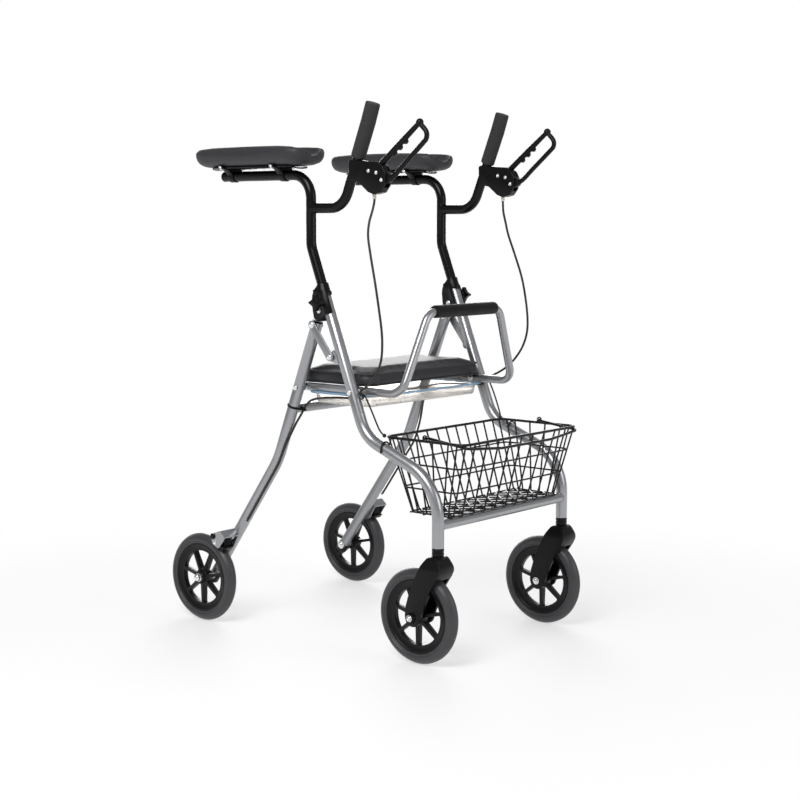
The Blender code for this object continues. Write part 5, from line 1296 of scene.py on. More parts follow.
class Upholsterer:
    """Swells a closed cover by cloth simulation, as a filled cushion swells."""

    frames = 20

    @staticmethod
    def swell(piece: Piece, voxel: float, pressure: float, limit: float,
              held: Callable[[Vector], bool]) -> Piece:
        """Returns a piece blown up a little, so that its cover draws and creases.

        Args:
            piece: The cover, slightly smaller than it ends.
            voxel: The size of the cloth's cells.
            pressure: The pressure inside.
            limit: How far a point may move.
            held: Tells which points are sewn or screwed down.
        """
        modify(piece, "REMESH", mode="VOXEL", voxel_size=voxel, adaptivity=0.0)
        Upholsterer._blow(piece, pressure, limit, held)
        modify(piece, "SUBSURF", levels=1, render_levels=1)
        return piece

    @staticmethod
    def _blow(piece: Piece, pressure: float, limit: float, held: Callable[[Vector], bool]) -> None:
        """Runs the cloth and caps its movement.

        Args:
            piece: The cover.
            pressure: The pressure inside.
            limit: How far a point may move.
            held: Tells which points stay.
        """
        before = [vert.co.copy() for vert in piece.data.vertices]
        pins = piece.vertex_groups.new(name="held")
        pins.add([vert.index for vert in piece.data.vertices if held(vert.co)], 1.0, "REPLACE")
        take(piece)
        cloth = piece.modifiers.new("cover", "CLOTH")
        cloth.settings.quality = 6
        cloth.settings.mass = 0.25
        cloth.settings.tension_stiffness = 22
        cloth.settings.compression_stiffness = 22
        cloth.settings.bending_stiffness = 0.35
        cloth.settings.use_pressure = True
        cloth.settings.uniform_pressure_force = pressure
        cloth.settings.vertex_group_mass = pins.name
        cloth.settings.effector_weights.gravity = 0.0
        cloth.point_cache.frame_start = 1
        cloth.point_cache.frame_end = Upholsterer.frames
        for number in range(1, Upholsterer.frames + 1):
            bpy.context.scene.frame_set(number)
        bpy.ops.object.modifier_apply(modifier=cloth.name)
        bpy.context.scene.frame_set(1)
        piece.vertex_groups.clear()
        for vert, start in zip(piece.data.vertices, before):
            move = vert.co - start
            if move.length > limit:
                vert.co = start + move * (limit / move.length)


@dataclass
class SeatCushion(Assembly):
    """The seat cushion: a crowned cover with a piped seam, on a flat base."""

    half_width: float = 0.199
    span: Pair = (0.205, 0.405)
    base_z: float = 0.5593
    thickness: float = 0.0355
    crown: float = 0.005
    draw_in: float = 0.005
    corner: float = 0.026
    swell: float = 0.0035
    piping: float = 0.0014

    def build(self) -> None:
        """Makes the cushion and the piping along its seams."""
        cover = Upholsterer.swell(self._cover(), 0.005, 3.5, 0.006, self._held)
        cushion = self.fit(cover, "seat_cushion", Finishes.SEAT, "seat", "seat_cushion", angle=180)
        for name, level, inset in (("upper", 0.0262, 0.0022), ("lower", 0.0022, 0.0024)):
            self.fit(self._piping(level, inset), f"seat_piping_{name}", Finishes.SEAT, "seat", angle=180)

    def _edge(self, inset: float, count: int = 10) -> list[Pair]:
        """Returns the cushion's outline in (x, y), its sides drawn in between the corners.

        Args:
            inset: How far inside the full size.
            count: Points along each side and round each corner.
        """
        low, high = self.span
        half = Vector((self.half_width - inset, (high - low) / 2 - inset))
        middle_y = (low + high) / 2 + KINGPIN.y
        r = self.corner
        points = []
        for sx, sy, start in ((1, 1, 0), (-1, 1, 90), (-1, -1, 180), (1, -1, 270)):
            points += arc((sx * (half.x - r), sy * (half.y - r)), r, start, start + 90, count)
            ahead = {0: (-1, 1), 90: (-1, -1), 180: (1, -1), 270: (1, 1)}[start]
            along_x = start in (0, 180)
            first = points[-1]
            last = ((ahead[0] * (half.x - r), first[1]) if along_x else (first[0], ahead[1] * (half.y - r)))
            for i in range(1, count):
                t = i / count
                points.append((first[0] + (last[0] - first[0]) * t, first[1] + (last[1] - first[1]) * t))
        drawn = []
        for x, y in points:
            pull_x, pull_y = (self.draw_in * (1 - min(1.0, abs(along) / (reach - r)) ** 2)
                              for along, reach in ((y, half.y), (x, half.x)))
            drawn.append((x - math.copysign(pull_x if abs(x) > half.x - r * 0.3 else 0.0, x),
                          middle_y + y - math.copysign(pull_y if abs(y) > half.y - r * 0.3 else 0.0, y)))
        return drawn

    def _cover(self) -> Piece:
        """Returns the cover before it swells: rings from the base, up the sides and over the crown."""
        low, high = self.span
        middle = Vector((0.0, (low + high) / 2 + KINGPIN.y))
        side_top = self.thickness - self.crown - self.swell * 0.5
        rings = [(0.55, 0.0, 0.0003), (0.0, 0.01, 0.0003), (0.0, 0.0045, 0.0006), (0.0, 0.0025, 0.004),
                 (0.0, 0.0012, 0.01), (0.0, 0.0012, 0.018), (0.0, 0.0026, 0.0245), (0.0, 0.006, side_top),
                 (0.0, 0.012, side_top + 0.0026),
                 (0.1, 0.0, side_top + 0.0038), (0.25, 0.0, side_top + 0.0045),
                 (0.45, 0.0, side_top + 0.0049), (0.7, 0.0, side_top + 0.0052)]
        rows = []
        for shrink, inset, height in rings:
            edge = self._edge(inset + (0.012 if shrink else 0.0))
            row = [Vector((*(Vector(point).lerp(middle, shrink)), self.base_z + height)) for point in edge]
            rows.append(row + row[:1])
        return quilt(rows, closed=True)

    def _held(self, point: Vector) -> bool:
        """Tells whether a point lies on the base."""
        return point.z < self.base_z + 0.0035

    def _piping(self, level: float, inset: float) -> Piece:
        """Returns the piping of a seam.

        Args:
            level: Its height above the base.
            inset: How far inside the full size it runs.
        """
        line = [Vector((x, y, self.base_z + level)) for x, y in self._edge(inset)]
        return hoop(line, self.piping)


@dataclass
class Tray(Assembly):
    """The clear tray under the seat, with the hooks that hang it on the rails."""

    half_width: float = 0.1985
    span: Pair = (0.203, 0.383)
    top_z: float = 0.5407
    depth: float = 0.026
    wall: float = 0.0025
    lip: float = 0.008
    corner: float = 0.026
    edge_wire: float = 0.0025
    hook_places: Pair = (0.258, 0.338)
    hook_width: float = 0.014
    hook_wall: float = 0.0019

    def build(self) -> None:
        """Makes the tray as one moulding."""
        body = self._bowl()
        hooks = [self._hook(y, hand) for y in self.hook_places for _, hand in SIDES]
        self.fit(join([body, *hooks]), "tray", Finishes.TRAY, "seat", "tray")
        rim = hoop(self._ring(-0.0002, self.top_z - self.wall * 0.5, self.corner)[:-1], self.edge_wire)
        self.fit(rim, "tray_edge", Finishes.TRAY_EDGE, "seat", angle=180)

    def _ring(self, inset: float, z: float, radius: float) -> list[Vector]:
        """Returns a rounded rectangle of the tray.

        Args:
            inset: How far inside the rim's outline.
            z: Its height.
            radius: Its corner radius.
        """
        x = self.half_width - inset
        low, high = self.span[0] + inset, self.span[1] - inset
        outline = rounded([(x, high), (-x, high), (-x, low), (x, low)], radius, 6)
        row = [side(y, z, px) for px, y in outline]
        return row + row[:1]

    def _bowl(self) -> Piece:
        """Returns the tray's bowl with its rolled lip."""
        top, floor, wall, lip = self.top_z, self.top_z - self.depth, self.wall, self.lip
        steps = [(lip + 0.016, floor + wall, 0.012), (lip + 0.009, floor + wall + 0.0012, 0.015),
                 (lip + 0.0055, floor + wall + 0.005, 0.017), (lip + wall + 0.0008, top - 0.004, 0.019),
                 (lip + wall - 0.0006, top - 0.0006, 0.02), (0.0008, top - 0.0003, self.corner),
                 (0.0, top - 0.001, self.corner), (0.0, top - wall * 0.9, self.corner),
                 (0.0009, top - wall, self.corner),
                 (lip - 0.0006, top - wall - 0.0003, 0.021), (lip + 0.0004, top - wall - 0.0015, 0.02),
                 (lip + 0.0035, floor + 0.004, 0.017), (lip + 0.0062, floor + 0.0008, 0.015),
                 (lip + 0.012, floor, 0.012)]
        return quilt([self._ring(*step) for step in steps], closed=True)

    def _hook(self, y: float, hand: float) -> Piece:
        """Returns a hook round a rail.

        Args:
            y: Its near edge.
            hand: 1 for the left rail, -1 for the right one.
        """
        inner, outer = (arc((RAIL_X, RAIL_Z), RAIL_RADIUS + PLAY + wall, -95, -230, 12)
                        for wall in (0.0, self.hook_wall))
        outline = [side(y, z, hand * x) for x, z in inner + outer[::-1]]
        return slab(outline, Vector((0, self.hook_width, 0)), 0.0004, 2)


@dataclass
class ArmSupport(Assembly):
    """A forearm support: its bent tube with the welded handle branch, and the foam grip on that."""

    foot_z: float = 0.612
    bend_y: float = 0.347
    bend: float = 0.055
    rear_y: float = 0.606
    pad_bend: float = 0.05
    branch_z: float = 0.934
    branch_bend: float = 0.05
    grip_foot: Pair = (0.2115, 1.045)
    grip_kink: Pair = (0.1865, 1.108)
    grip_top: Pair = (0.1735, 1.146)
    grip_bend: float = 0.06
    grip_drop: float = 0.009
    grip_radius: float = 0.0157

    def build(self) -> None:
        """Makes the tube, the plug at its rear end and the grip on both sides."""
        self.pair(self._tube(), "arm_tube", Finishes.BLACK_PAINT, "arm_*", "arm_tube_*")
        self.pair(self._plug(), "arm_plug", Finishes.MOULDED, "arm_*")
        for grip in self.pair(self._grip(), "hand_grip", Finishes.GRIP, "arm_*", "hand_grip_*"):
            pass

    def _tube(self) -> Piece:
        """Returns the main tube, the branch and the weld between them."""
        bend_z = SEAT_PIVOT[1] + (self.bend_y - SEAT_PIVOT[0]) / math.tan(FRONT_LEAN)
        main = tube([side(leg_y(self.foot_z), self.foot_z), side(self.bend_y, bend_z),
                     side(self.bend_y, PAD_TUBE_Z), side(self.rear_y, PAD_TUBE_Z)],
                    (self.bend, self.pad_bend), ARM_RADIUS, 36, 5)
        along = (side(*self.grip_kink) - side(*self.grip_foot)).normalized()
        corner = side(*self.grip_foot) - along * ((self.grip_foot[1] - self.branch_z) / along.z)
        top = side(*self.grip_top) + (side(*self.grip_kink) - side(*self.grip_top)).normalized() * 0.006
        branch = tube([side(self.bend_y - 0.002, self.branch_z), corner, side(*self.grip_kink), top],
                      (self.branch_bend, self.grip_bend), ARM_RADIUS, 36, 5)
        bead = self.weld(side(self.bend_y, self.branch_z), UP, Vector((0, -1, 0)), ARM_RADIUS,
                         ARM_RADIUS * 0.98, 0.0015)
        combine(main, [branch])
        return join([main, bead])

    def _plug(self) -> Piece:
        """Returns the rounded plug in the tube's rear end."""
        r = ARM_RADIUS
        profile = [(0.0, -0.006), (r - 0.0015, -0.006), (r - 0.0015, 0.0), (r + 0.0002, 0.0),
                   (r + 0.0002, 0.0016), (r - 0.001, 0.0038), (r - 0.0035, 0.0056), (r - 0.007, 0.0066),
                   (0.0, 0.007)]
        return turned(profile, side(self.rear_y, PAD_TUBE_Z), 36, REARWARD)

    def _grip(self) -> Piece:
        """Returns the foam grip: a sleeve that follows the branch, cut square at its top."""
        foot = side(*self.grip_foot)
        foot += (foot - side(*self.grip_kink)).normalized() * self.grip_drop
        line = filleted([foot, side(*self.grip_kink), side(*self.grip_top)], (self.grip_bend,), 5)
        ends = {0: 0.9, 1: 0.985, -2: 1.0, -1: 0.93}
        return self.sleeve(smoothed(line, 0.0022), self.grip_radius * 0.985, 0.015, ends)


@dataclass
class BrakeControl(Assembly):
    """The lever housing on the handle branch, and the looped brake lever."""

    housing_half: float = 0.0135
    lever_half: float = 0.0062
    pivot: Pair = (0.152, 0.992)
    pin_radius: float = 0.0035
    front_radius: float = 0.0052
    tooth_start: float = 0.046
    tooth_pitch: float = 0.0185
    teeth: int = 3
    ball: float = 0.008

    def build(self) -> None:
        """Makes the housing with its screws and ferrule, and the lever."""
        self.pair(self._housing(), "lever_housing", Finishes.MOULDED, "arm_*", "lever_housing_*")
        self.pair(self._screws(), "housing_screws", Finishes.STEEL, "arm_*")
        self.pair(self._ferrule(), "cable_ferrule", Finishes.FERRULE, "arm_*")
        self.pair(self._lever(), "brake_lever", Finishes.MOULDED, "lever_*", "brake_lever_*")

    def _housing(self) -> Piece:
        """Returns the housing: a rounded body with a raised rim, a parting line and the lever's slot."""
        outline = [(0.234, 1.032), (0.232, 0.988), (0.204, 0.983), (0.18, 0.964), (0.164, 0.9585),
                   (0.145, 0.963), (0.133, 0.978), (0.129, 1.003), (0.138, 1.019), (0.154, 1.029),
                   (0.19, 1.031), (0.225, 1.035)]
        body = plate(rounded(outline, 0.008, 4), -self.housing_half, self.housing_half)
        for sign in (1, -1):
            self._dish(body, sign)
        soften(body, 0.0019, 3, 35)
        slot_half = self.lever_half + PLAY
        slot = plate([(0.183, 1.05), (0.12, 1.05), (0.11, 0.977), (0.14, 0.974),
                      (0.17, 0.979), (0.179, 0.992), (0.183, 1.01)], -slot_half, slot_half)
        seam = plate([(0.26, 1.03), (0.26, 0.97), (0.21, 0.97)], -0.0009, 0.0009)
        combine(body, [slot, seam], "DIFFERENCE")
        pin = across(*self.pivot, TRACK - self.housing_half + 0.0004, TRACK + self.housing_half - 0.0004,
                     self.pin_radius, 20)
        return join([body, pin])

    def _dish(self, body: Piece, sign: int) -> None:
        """Sinks a side face of the housing inside a raised rim.

        Args:
            body: The housing.
            sign: 1 for the outer side, -1 for the inner one.
        """
        take(body)
        for face in body.data.polygons:
            face.select = face.normal.x * sign > 0.9
        bpy.ops.object.mode_set(mode="EDIT")
        bpy.ops.mesh.select_mode(type="FACE")
        bpy.ops.mesh.inset(thickness=0.0038, depth=0.0)
        bpy.ops.mesh.inset(thickness=0.0012, depth=-0.001)
        bpy.ops.mesh.select_mode(type="VERT")
        close()

    def _screws(self) -> Piece:
        """Returns the small screws of the housing."""
        parts = []
        for sign in (1, -1):
            face = TRACK + sign * (self.housing_half - 0.0012)
            for y, z in ((0.176, 1.009), (0.155, 1.005), (0.1415, 0.99)):
                parts.append(bolt_head(side(y, z, face), Vector((sign, 0, 0)), 0.0031, 0.0026))
        return join(parts)

    def _ferrule(self) -> Piece:
        """Returns the pale ferrule that the cable leaves the housing by."""
        profile = [(0.0, 0.0), (0.0028, 0.0), (0.004, 0.0016), (0.0042, 0.004), (0.0036, 0.0052),
                   (0.0042, 0.0062), (0.0042, 0.01), (0.0052, 0.0104), (0.0052, 0.016), (0.0, 0.016)]
        return turned(profile, side(0.17, 0.952), 28, UP)

    def _lever(self) -> Piece:
        """Returns the lever: root plate, rear arm with finger teeth, ball end and the loop in front."""
        rear = [(0.156, 1.018), (0.0995, 1.0635), (0.0605, 1.0945), (0.0558, 1.0983), (0.0511, 1.102)]
        front = [(0.0511, 1.1), (0.0415, 1.0915), (0.0335, 1.0815), (0.034, 1.07), (0.043, 1.061),
                 (0.089, 1.022), (0.113, 1.001), (0.133, 0.989)]
        rear_bar = rod([side(*point) for point in rear], [0.0066, 0.0062, 0.0054, 0.0052, 0.0052], 6)
        line = smoothed([side(*point) for point in front], 0.004)
        front_bar = rod(line, self.front_radius, 6)
        root = plate(rounded([(0.162, 0.983), (0.161, 1.02), (0.15, 1.025), (0.142, 1.02),
                              (0.136, 1.008), (0.124, 0.999), (0.124, 0.987), (0.142, 0.979),
                              (0.156, 0.978)], 0.005), -self.lever_half, self.lever_half, bevel=0.0014)
        along = (Vector(rear[2]) - Vector(rear[0])).normalized()
        under = Vector((-along.y, along.x))
        teeth = []
        for index in range(self.teeth):
            foot = Vector(rear[0]) + along * (self.tooth_start + index * self.tooth_pitch)
            corners = [foot - along * 0.008, foot - along * 0.003 + under * 0.0108,
                       foot + along * 0.0036 + under * 0.01, foot + along * 0.0085]
            teeth.append(plate(rounded([tuple(c) for c in corners], 0.002, 3), -0.004, 0.004, bevel=0.0009))
        end = ball(side(0.0511, 1.102), (self.ball, self.ball, self.ball))
        lever = combine(root, [rear_bar, front_bar, end, *teeth])
        bore = across(*self.pivot, TRACK - 0.02, TRACK + 0.02, self.pin_radius + PLAY, 20)
        return combine(lever, [bore], "DIFFERENCE")


@dataclass
class ForearmPad(Assembly):
    """A padded gutter for the forearm, with the moulded carrier that clamps it on its tube."""

    middle_y: float = 0.501
    length: float = 0.338
    half_width: float = 0.055
    centre_z: float = 1.0215
    rise: float = 0.039
    thickness: float = 0.0185
    cover_rise: float = 0.0245
    end_lift: float = 0.0085
    rim_fall: float = 0.95
    slack: float = 0.001
    shell_share: float = 0.36
    shell_wall: float = 0.0024
    shell_margin: float = 0.045
    bracket_places: Pair = (0.424, 0.578)
    bracket_width: float = 0.016
    bracket_share: float = 0.44
    bracket_lean: float = 0.008
    ring_radius: float = 0.013

    def build(self) -> None:
        """Makes the pads, the carriers and the screws."""
        cover = Upholsterer.swell(self._cover(), 0.0045, 4.0, 0.005, self._held)
        for pad in self.pair(cover, "arm_pad", Finishes.PAD, "pad_*", "arm_pad_*", angle=180):
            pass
        self.pair(self._carrier(), "pad_carrier", Finishes.MOULDED, "pad_*", "pad_carrier_*")
        self.pair(self._screws(), "pad_screws", Finishes.STEEL, "pad_*")

    def gutter(self, share: float) -> Pair:
        """Returns the offset across and the rise of the pad's underside.

        Args:
            share: Where across, from -1 at one rim to 1 at the other.
        """
        part = abs(share)
        return math.copysign(self.half_width * math.sin(part * math.pi / 2), share), self.rise * part ** 2.2

    def _section(self, y: float) -> list[Vector]:
        """Returns the pad's outline at a place along it: underside, round rim, hollow and round rim."""
        end = self.length / 2 - abs(y - self.middle_y)
        plan = (1 - max(0.0, 1 - end / 0.052) ** 2.3) ** 0.43
        nose = (1 - max(0.0, 1 - end / 0.019) ** 2.1) ** 0.47
        half = self.thickness / 2 * max(0.3, nose) - self.slack
        reach = max(0.006, (self.half_width - self.thickness / 2) * plan * (0.45 + 0.55 * nose))
        rise = self.cover_rise * (1 - self.rim_fall * (1 - plan * (0.35 + 0.65 * nose)))
        base = self.centre_z + self.thickness / 2 + self.end_lift * (1 - plan * nose)
        line = []
        for step in range(-12, 13):
            share = step / 12
            line.append(Vector((reach * math.sin(share * math.pi / 2), base + rise * abs(share) ** 2.2)))
        slope = [(line[min(i + 1, 24)] - line[max(i - 1, 0)]).normalized() for i in range(25)]
        outline = [p + Vector((t.y, -t.x)) * half for p, t in zip(line, slope)]
        outline += self._rim(line[-1], Vector((slope[-1].y, -slope[-1].x)) * half)
        outline += [p + Vector((-t.y, t.x)) * half for p, t in zip(reversed(line), reversed(slope))]
        outline += self._rim(line[0], Vector((-slope[0].y, slope[0].x)) * half)
        return [side(y, p.y, TRACK + p.x) for p in outline]

    @staticmethod
    def _rim(centre: Vector, arm: Vector) -> list[Vector]:
        """Returns the points of a half round, from an arm about a centre."""
        return [centre + Matrix.Rotation(math.radians(turn), 2) @ arm for turn in (30, 60, 90, 120, 150)]

    def _cover(self) -> Piece:
        """Returns the cover before it swells, with its sections closer together at the ends."""
        near = [0.0012, 0.003, 0.0055, 0.0085, 0.0125, 0.017, 0.022, 0.028, 0.035, 0.042]
        half = self.length / 2
        places = [(half - 0.05) * i / 9 for i in range(-9, 10)]
        places = [-half + d for d in near] + places + [half - d for d in reversed(near)]
        rows = [self._section(self.middle_y + place) for place in places]
        return quilt([row + row[:1] for row in rows], closed=True)

    def _held(self, point: Vector) -> bool:
        """Tells whether a point lies on the carrier."""
        y = point.y - KINGPIN.y
        across = abs(point.x - TRACK)
        share = math.asin(min(1.0, across / self.half_width)) / (math.pi / 2)
        return share < 0.5 and point.z < self.centre_z + self.gutter(share)[1] + 0.004 and (
            abs(y - self.middle_y) < self.length / 2 - 0.03)

    def _carrier(self) -> Piece:
        """Returns the shell under the pad with its two V-shaped brackets round the tube."""
        x, top = TRACK, self.centre_z - 0.0009
        rows = []
        reach = self.length / 2 - self.shell_margin
        ends = ((1.0, 0.0012, 0.62), (0.985, 0.0006, 0.76), (0.94, 0.0002, 0.9), (0.85, 0.0, 1.0))
        front = [(-part, *rest) for part, *rest in ends]
        for part, drop, narrow in [*front, (0.0, 0.0, 1.0), *reversed(ends)]:
            share = self.shell_share * narrow
            upper = [self.gutter(i / 9 * share) for i in range(-9, 10)]
            outline = [(across, top + rise - drop) for across, rise in reversed(upper)]
            outline += [(across * 1.02, top + rise - drop - self.shell_wall) for across, rise in upper]
            row = [side(self.middle_y + part * reach, z, x + across) for across, z in outline]
            rows.append(row + row[:1])
        shell = quilt(rows, closed=True)
        brackets = [self._bracket(y, top) for y in self.bracket_places]
        combine(shell, brackets)
        bore = bar(side(self.middle_y - 0.12, PAD_TUBE_Z), side(self.middle_y + 0.12, PAD_TUBE_Z),
                   ARM_RADIUS + PLAY, 36)
        combine(shell, [bore], "DIFFERENCE")
        soften(shell, 0.0008, 2, 45)
        return shell

    def _bracket(self, y: float, top: float) -> Piece:
        """Returns one V-shaped bracket with the ring that holds the tube.

        Args:
            y: Its middle along the tube.
            top: Height of the shell's middle.
        """
        shares = [self.bracket_share * i / 6 for i in range(-6, 7)]
        tip, tip_rise = self.gutter(self.bracket_share)
        outline = [(across, top + rise - self.shell_wall * 0.4) for across, rise in map(self.gutter, shares)]
        around = arc((0.0, PAD_TUBE_Z), self.ring_radius, 12, -192, 16)
        wing = top + tip_rise - self.shell_wall - 0.0042
        outline += [(tip * 1.02, wing), (tip * 0.6, top - 0.003), *around]
        outline += [(-tip * 0.6, top - 0.003), (-tip * 1.02, wing)]
        points = [side(y - self.bracket_width / 2 + self.bracket_lean * max(0.0, (z - PAD_TUBE_Z) / 0.022), z,
                       TRACK + across) for across, z in outline]
        return slab(points, Vector((0, self.bracket_width, 0)))

    def _screws(self) -> Piece:
        """Returns the bright screws in the tips of the brackets."""
        tip, rise = self.gutter(self.bracket_share * 0.97)
        z = self.centre_z + rise - self.shell_wall - 0.0026
        heads = []
        for y in self.bracket_places:
            for sign in (1, -1):
                foot = side(y + self.bracket_lean, z, TRACK + sign * tip)
                heads.append(bolt_head(foot, Vector((sign * 0.8, 0, -0.6)), 0.0038, 0.003))
        return join(heads)


@dataclass
class LegClamp(Assembly):
    """The height clamp on a leg's top, with its star knob."""

    collar_wall: float = 0.0027
    sleeve_wall: float = 0.0026
    split_z: float = 0.7535
    top_z: float = 0.774
    collar_z: float = 0.7115
    block_half: float = 0.0125
    knob_centre: Pair = (0.3038, 0.7362)
    boss_reach: float = 0.0207
    knob_radius: float = 0.02
    knob_neck: float = 0.006
    knob_thickness: float = 0.013
    stud_radius: float = 0.0034

    def build(self) -> None:
        """Makes the clamp, its fixing bolt, and the knob with its stud and cap."""
        self.pair(self._clamp(), "leg_clamp", Finishes.MOULDED, "front_frame", "leg_clamp_*")
        self.pair(self._bolt(), "clamp_bolt", Finishes.STEEL, "front_frame")
        self.pair(self._knob(), "clamp_knob", Finishes.MOULDED, "knob_*", "clamp_knob_*")
        self.pair(self._stud(), "knob_stud", Finishes.STEEL, "knob_*")

    def _clamp(self) -> Piece:
        """Returns the clamp: a sleeve, a collar open at the inner front, and a rear block with a boss."""
        foot, split = side(leg_y(0.66), 0.66), side(leg_y(self.split_z), self.split_z)
        outline = [(leg_y(0.77) + 0.004, 0.77), (0.3245, 0.769), (0.3315, 0.761), (0.3355, 0.75),
                   (0.3362, 0.74), (0.3345, 0.72), (0.3305, 0.701), (0.32, 0.6955), (0.312, 0.6955),
                   (leg_y(0.706) + 0.009, 0.706), (leg_y(0.712), 0.712)]
        block = plate(rounded(outline, 0.008, 4), -self.block_half, self.block_half, bevel=0.0028, segments=3)
        collar = bar(side(leg_y(self.collar_z), self.collar_z),
                     side(leg_y(self.split_z + 0.003), self.split_z + 0.003),
                     LEG_RADIUS + self.collar_wall, 44, 0.001)
        sleeve = bar(side(leg_y(0.755), 0.755), side(leg_y(self.top_z), self.top_z),
                     ARM_RADIUS + self.sleeve_wall, 44, 0.0008)
        boss = across(*self.knob_centre, TRACK + 0.006, TRACK + self.boss_reach, 0.0085, 32, 0.0008)
        rib = plate(rounded([(leg_y(0.762) - 0.006, 0.764), (leg_y(0.762) + 0.022, 0.764),
                             (leg_y(0.747) + 0.02, 0.742), (leg_y(0.747) - 0.004, 0.742)], 0.006),
                    -self.block_half - 0.0012, self.block_half + 0.0012, bevel=0.0012)
        combine(block, [collar, sleeve, boss, rib])
        mouth = [(leg_y(z) + reach, z) for z, reach in ((0.69, -0.03), (0.69, -0.003), (0.753, -0.003),
                                                        (0.753, -0.03))]
        cuts = [plate(mouth, -0.03, 0.007),
                bar(foot, split, LEG_RADIUS + 0.0003, 44),
                bar(foot, side(leg_y(0.8), 0.8), ARM_RADIUS + 0.0006, 44),
                across(*self.knob_centre, TRACK + LEG_RADIUS + 0.0012, TRACK + 0.04,
                       self.stud_radius + PLAY, 24)]
        combine(block, cuts, "DIFFERENCE")
        soften(block, 0.0006, 2, 50)
        return block

    def _bolt(self) -> Piece:
        """Returns the bolt that closes the collar across the leg's rear."""
        y, z = leg_y(0.722) + 0.0195, 0.7185
        outer = bolt_head(side(y, z, TRACK + self.block_half - 0.0004), OUTWARD, 0.0042, 0.0034)
        inner = nut(side(y, z, TRACK - self.block_half + 0.0002), INWARD, 0.0048, 0.0046)
        return join([outer, inner])

    def _knob(self) -> Piece:
        """Returns the star knob: four blunt points round a domed middle, on a neck."""
        star = []
        for index in range(16):
            turn = FULL_TURN * index / 16
            r = self.knob_radius * (1.0, 0.6, 0.52, 0.6)[index % 4]
            star.append((self.knob_centre[0] + r * math.cos(turn), self.knob_centre[1] + r * math.sin(turn)))
        base = self.boss_reach + 0.0003
        low, high = base + self.knob_neck, base + self.knob_neck + self.knob_thickness
        disc = plate(rounded(star, 0.005, 3), low, high - 0.002, bevel=0.003, segments=4)
        neck = across(*self.knob_centre, TRACK + base, TRACK + low + 0.004, 0.008, 32, 0.0006)
        centre = side(*self.knob_centre, TRACK + high - 0.0026)
        cap = [(0.0, 0.0), (0.0086, 0.0), (0.0084, 0.001), (0.0068, 0.0019), (0.004, 0.0024), (0.0, 0.0026)]
        return join([combine(disc, [neck]), turned(cap, centre, 32)])

    def _stud(self) -> Piece:
        """Returns the threaded stud between knob and clamp."""
        base = TRACK + self.boss_reach + 0.0003
        return across(*self.knob_centre, TRACK + LEG_RADIUS + 0.0018, base + 0.003, self.stud_radius, 20)


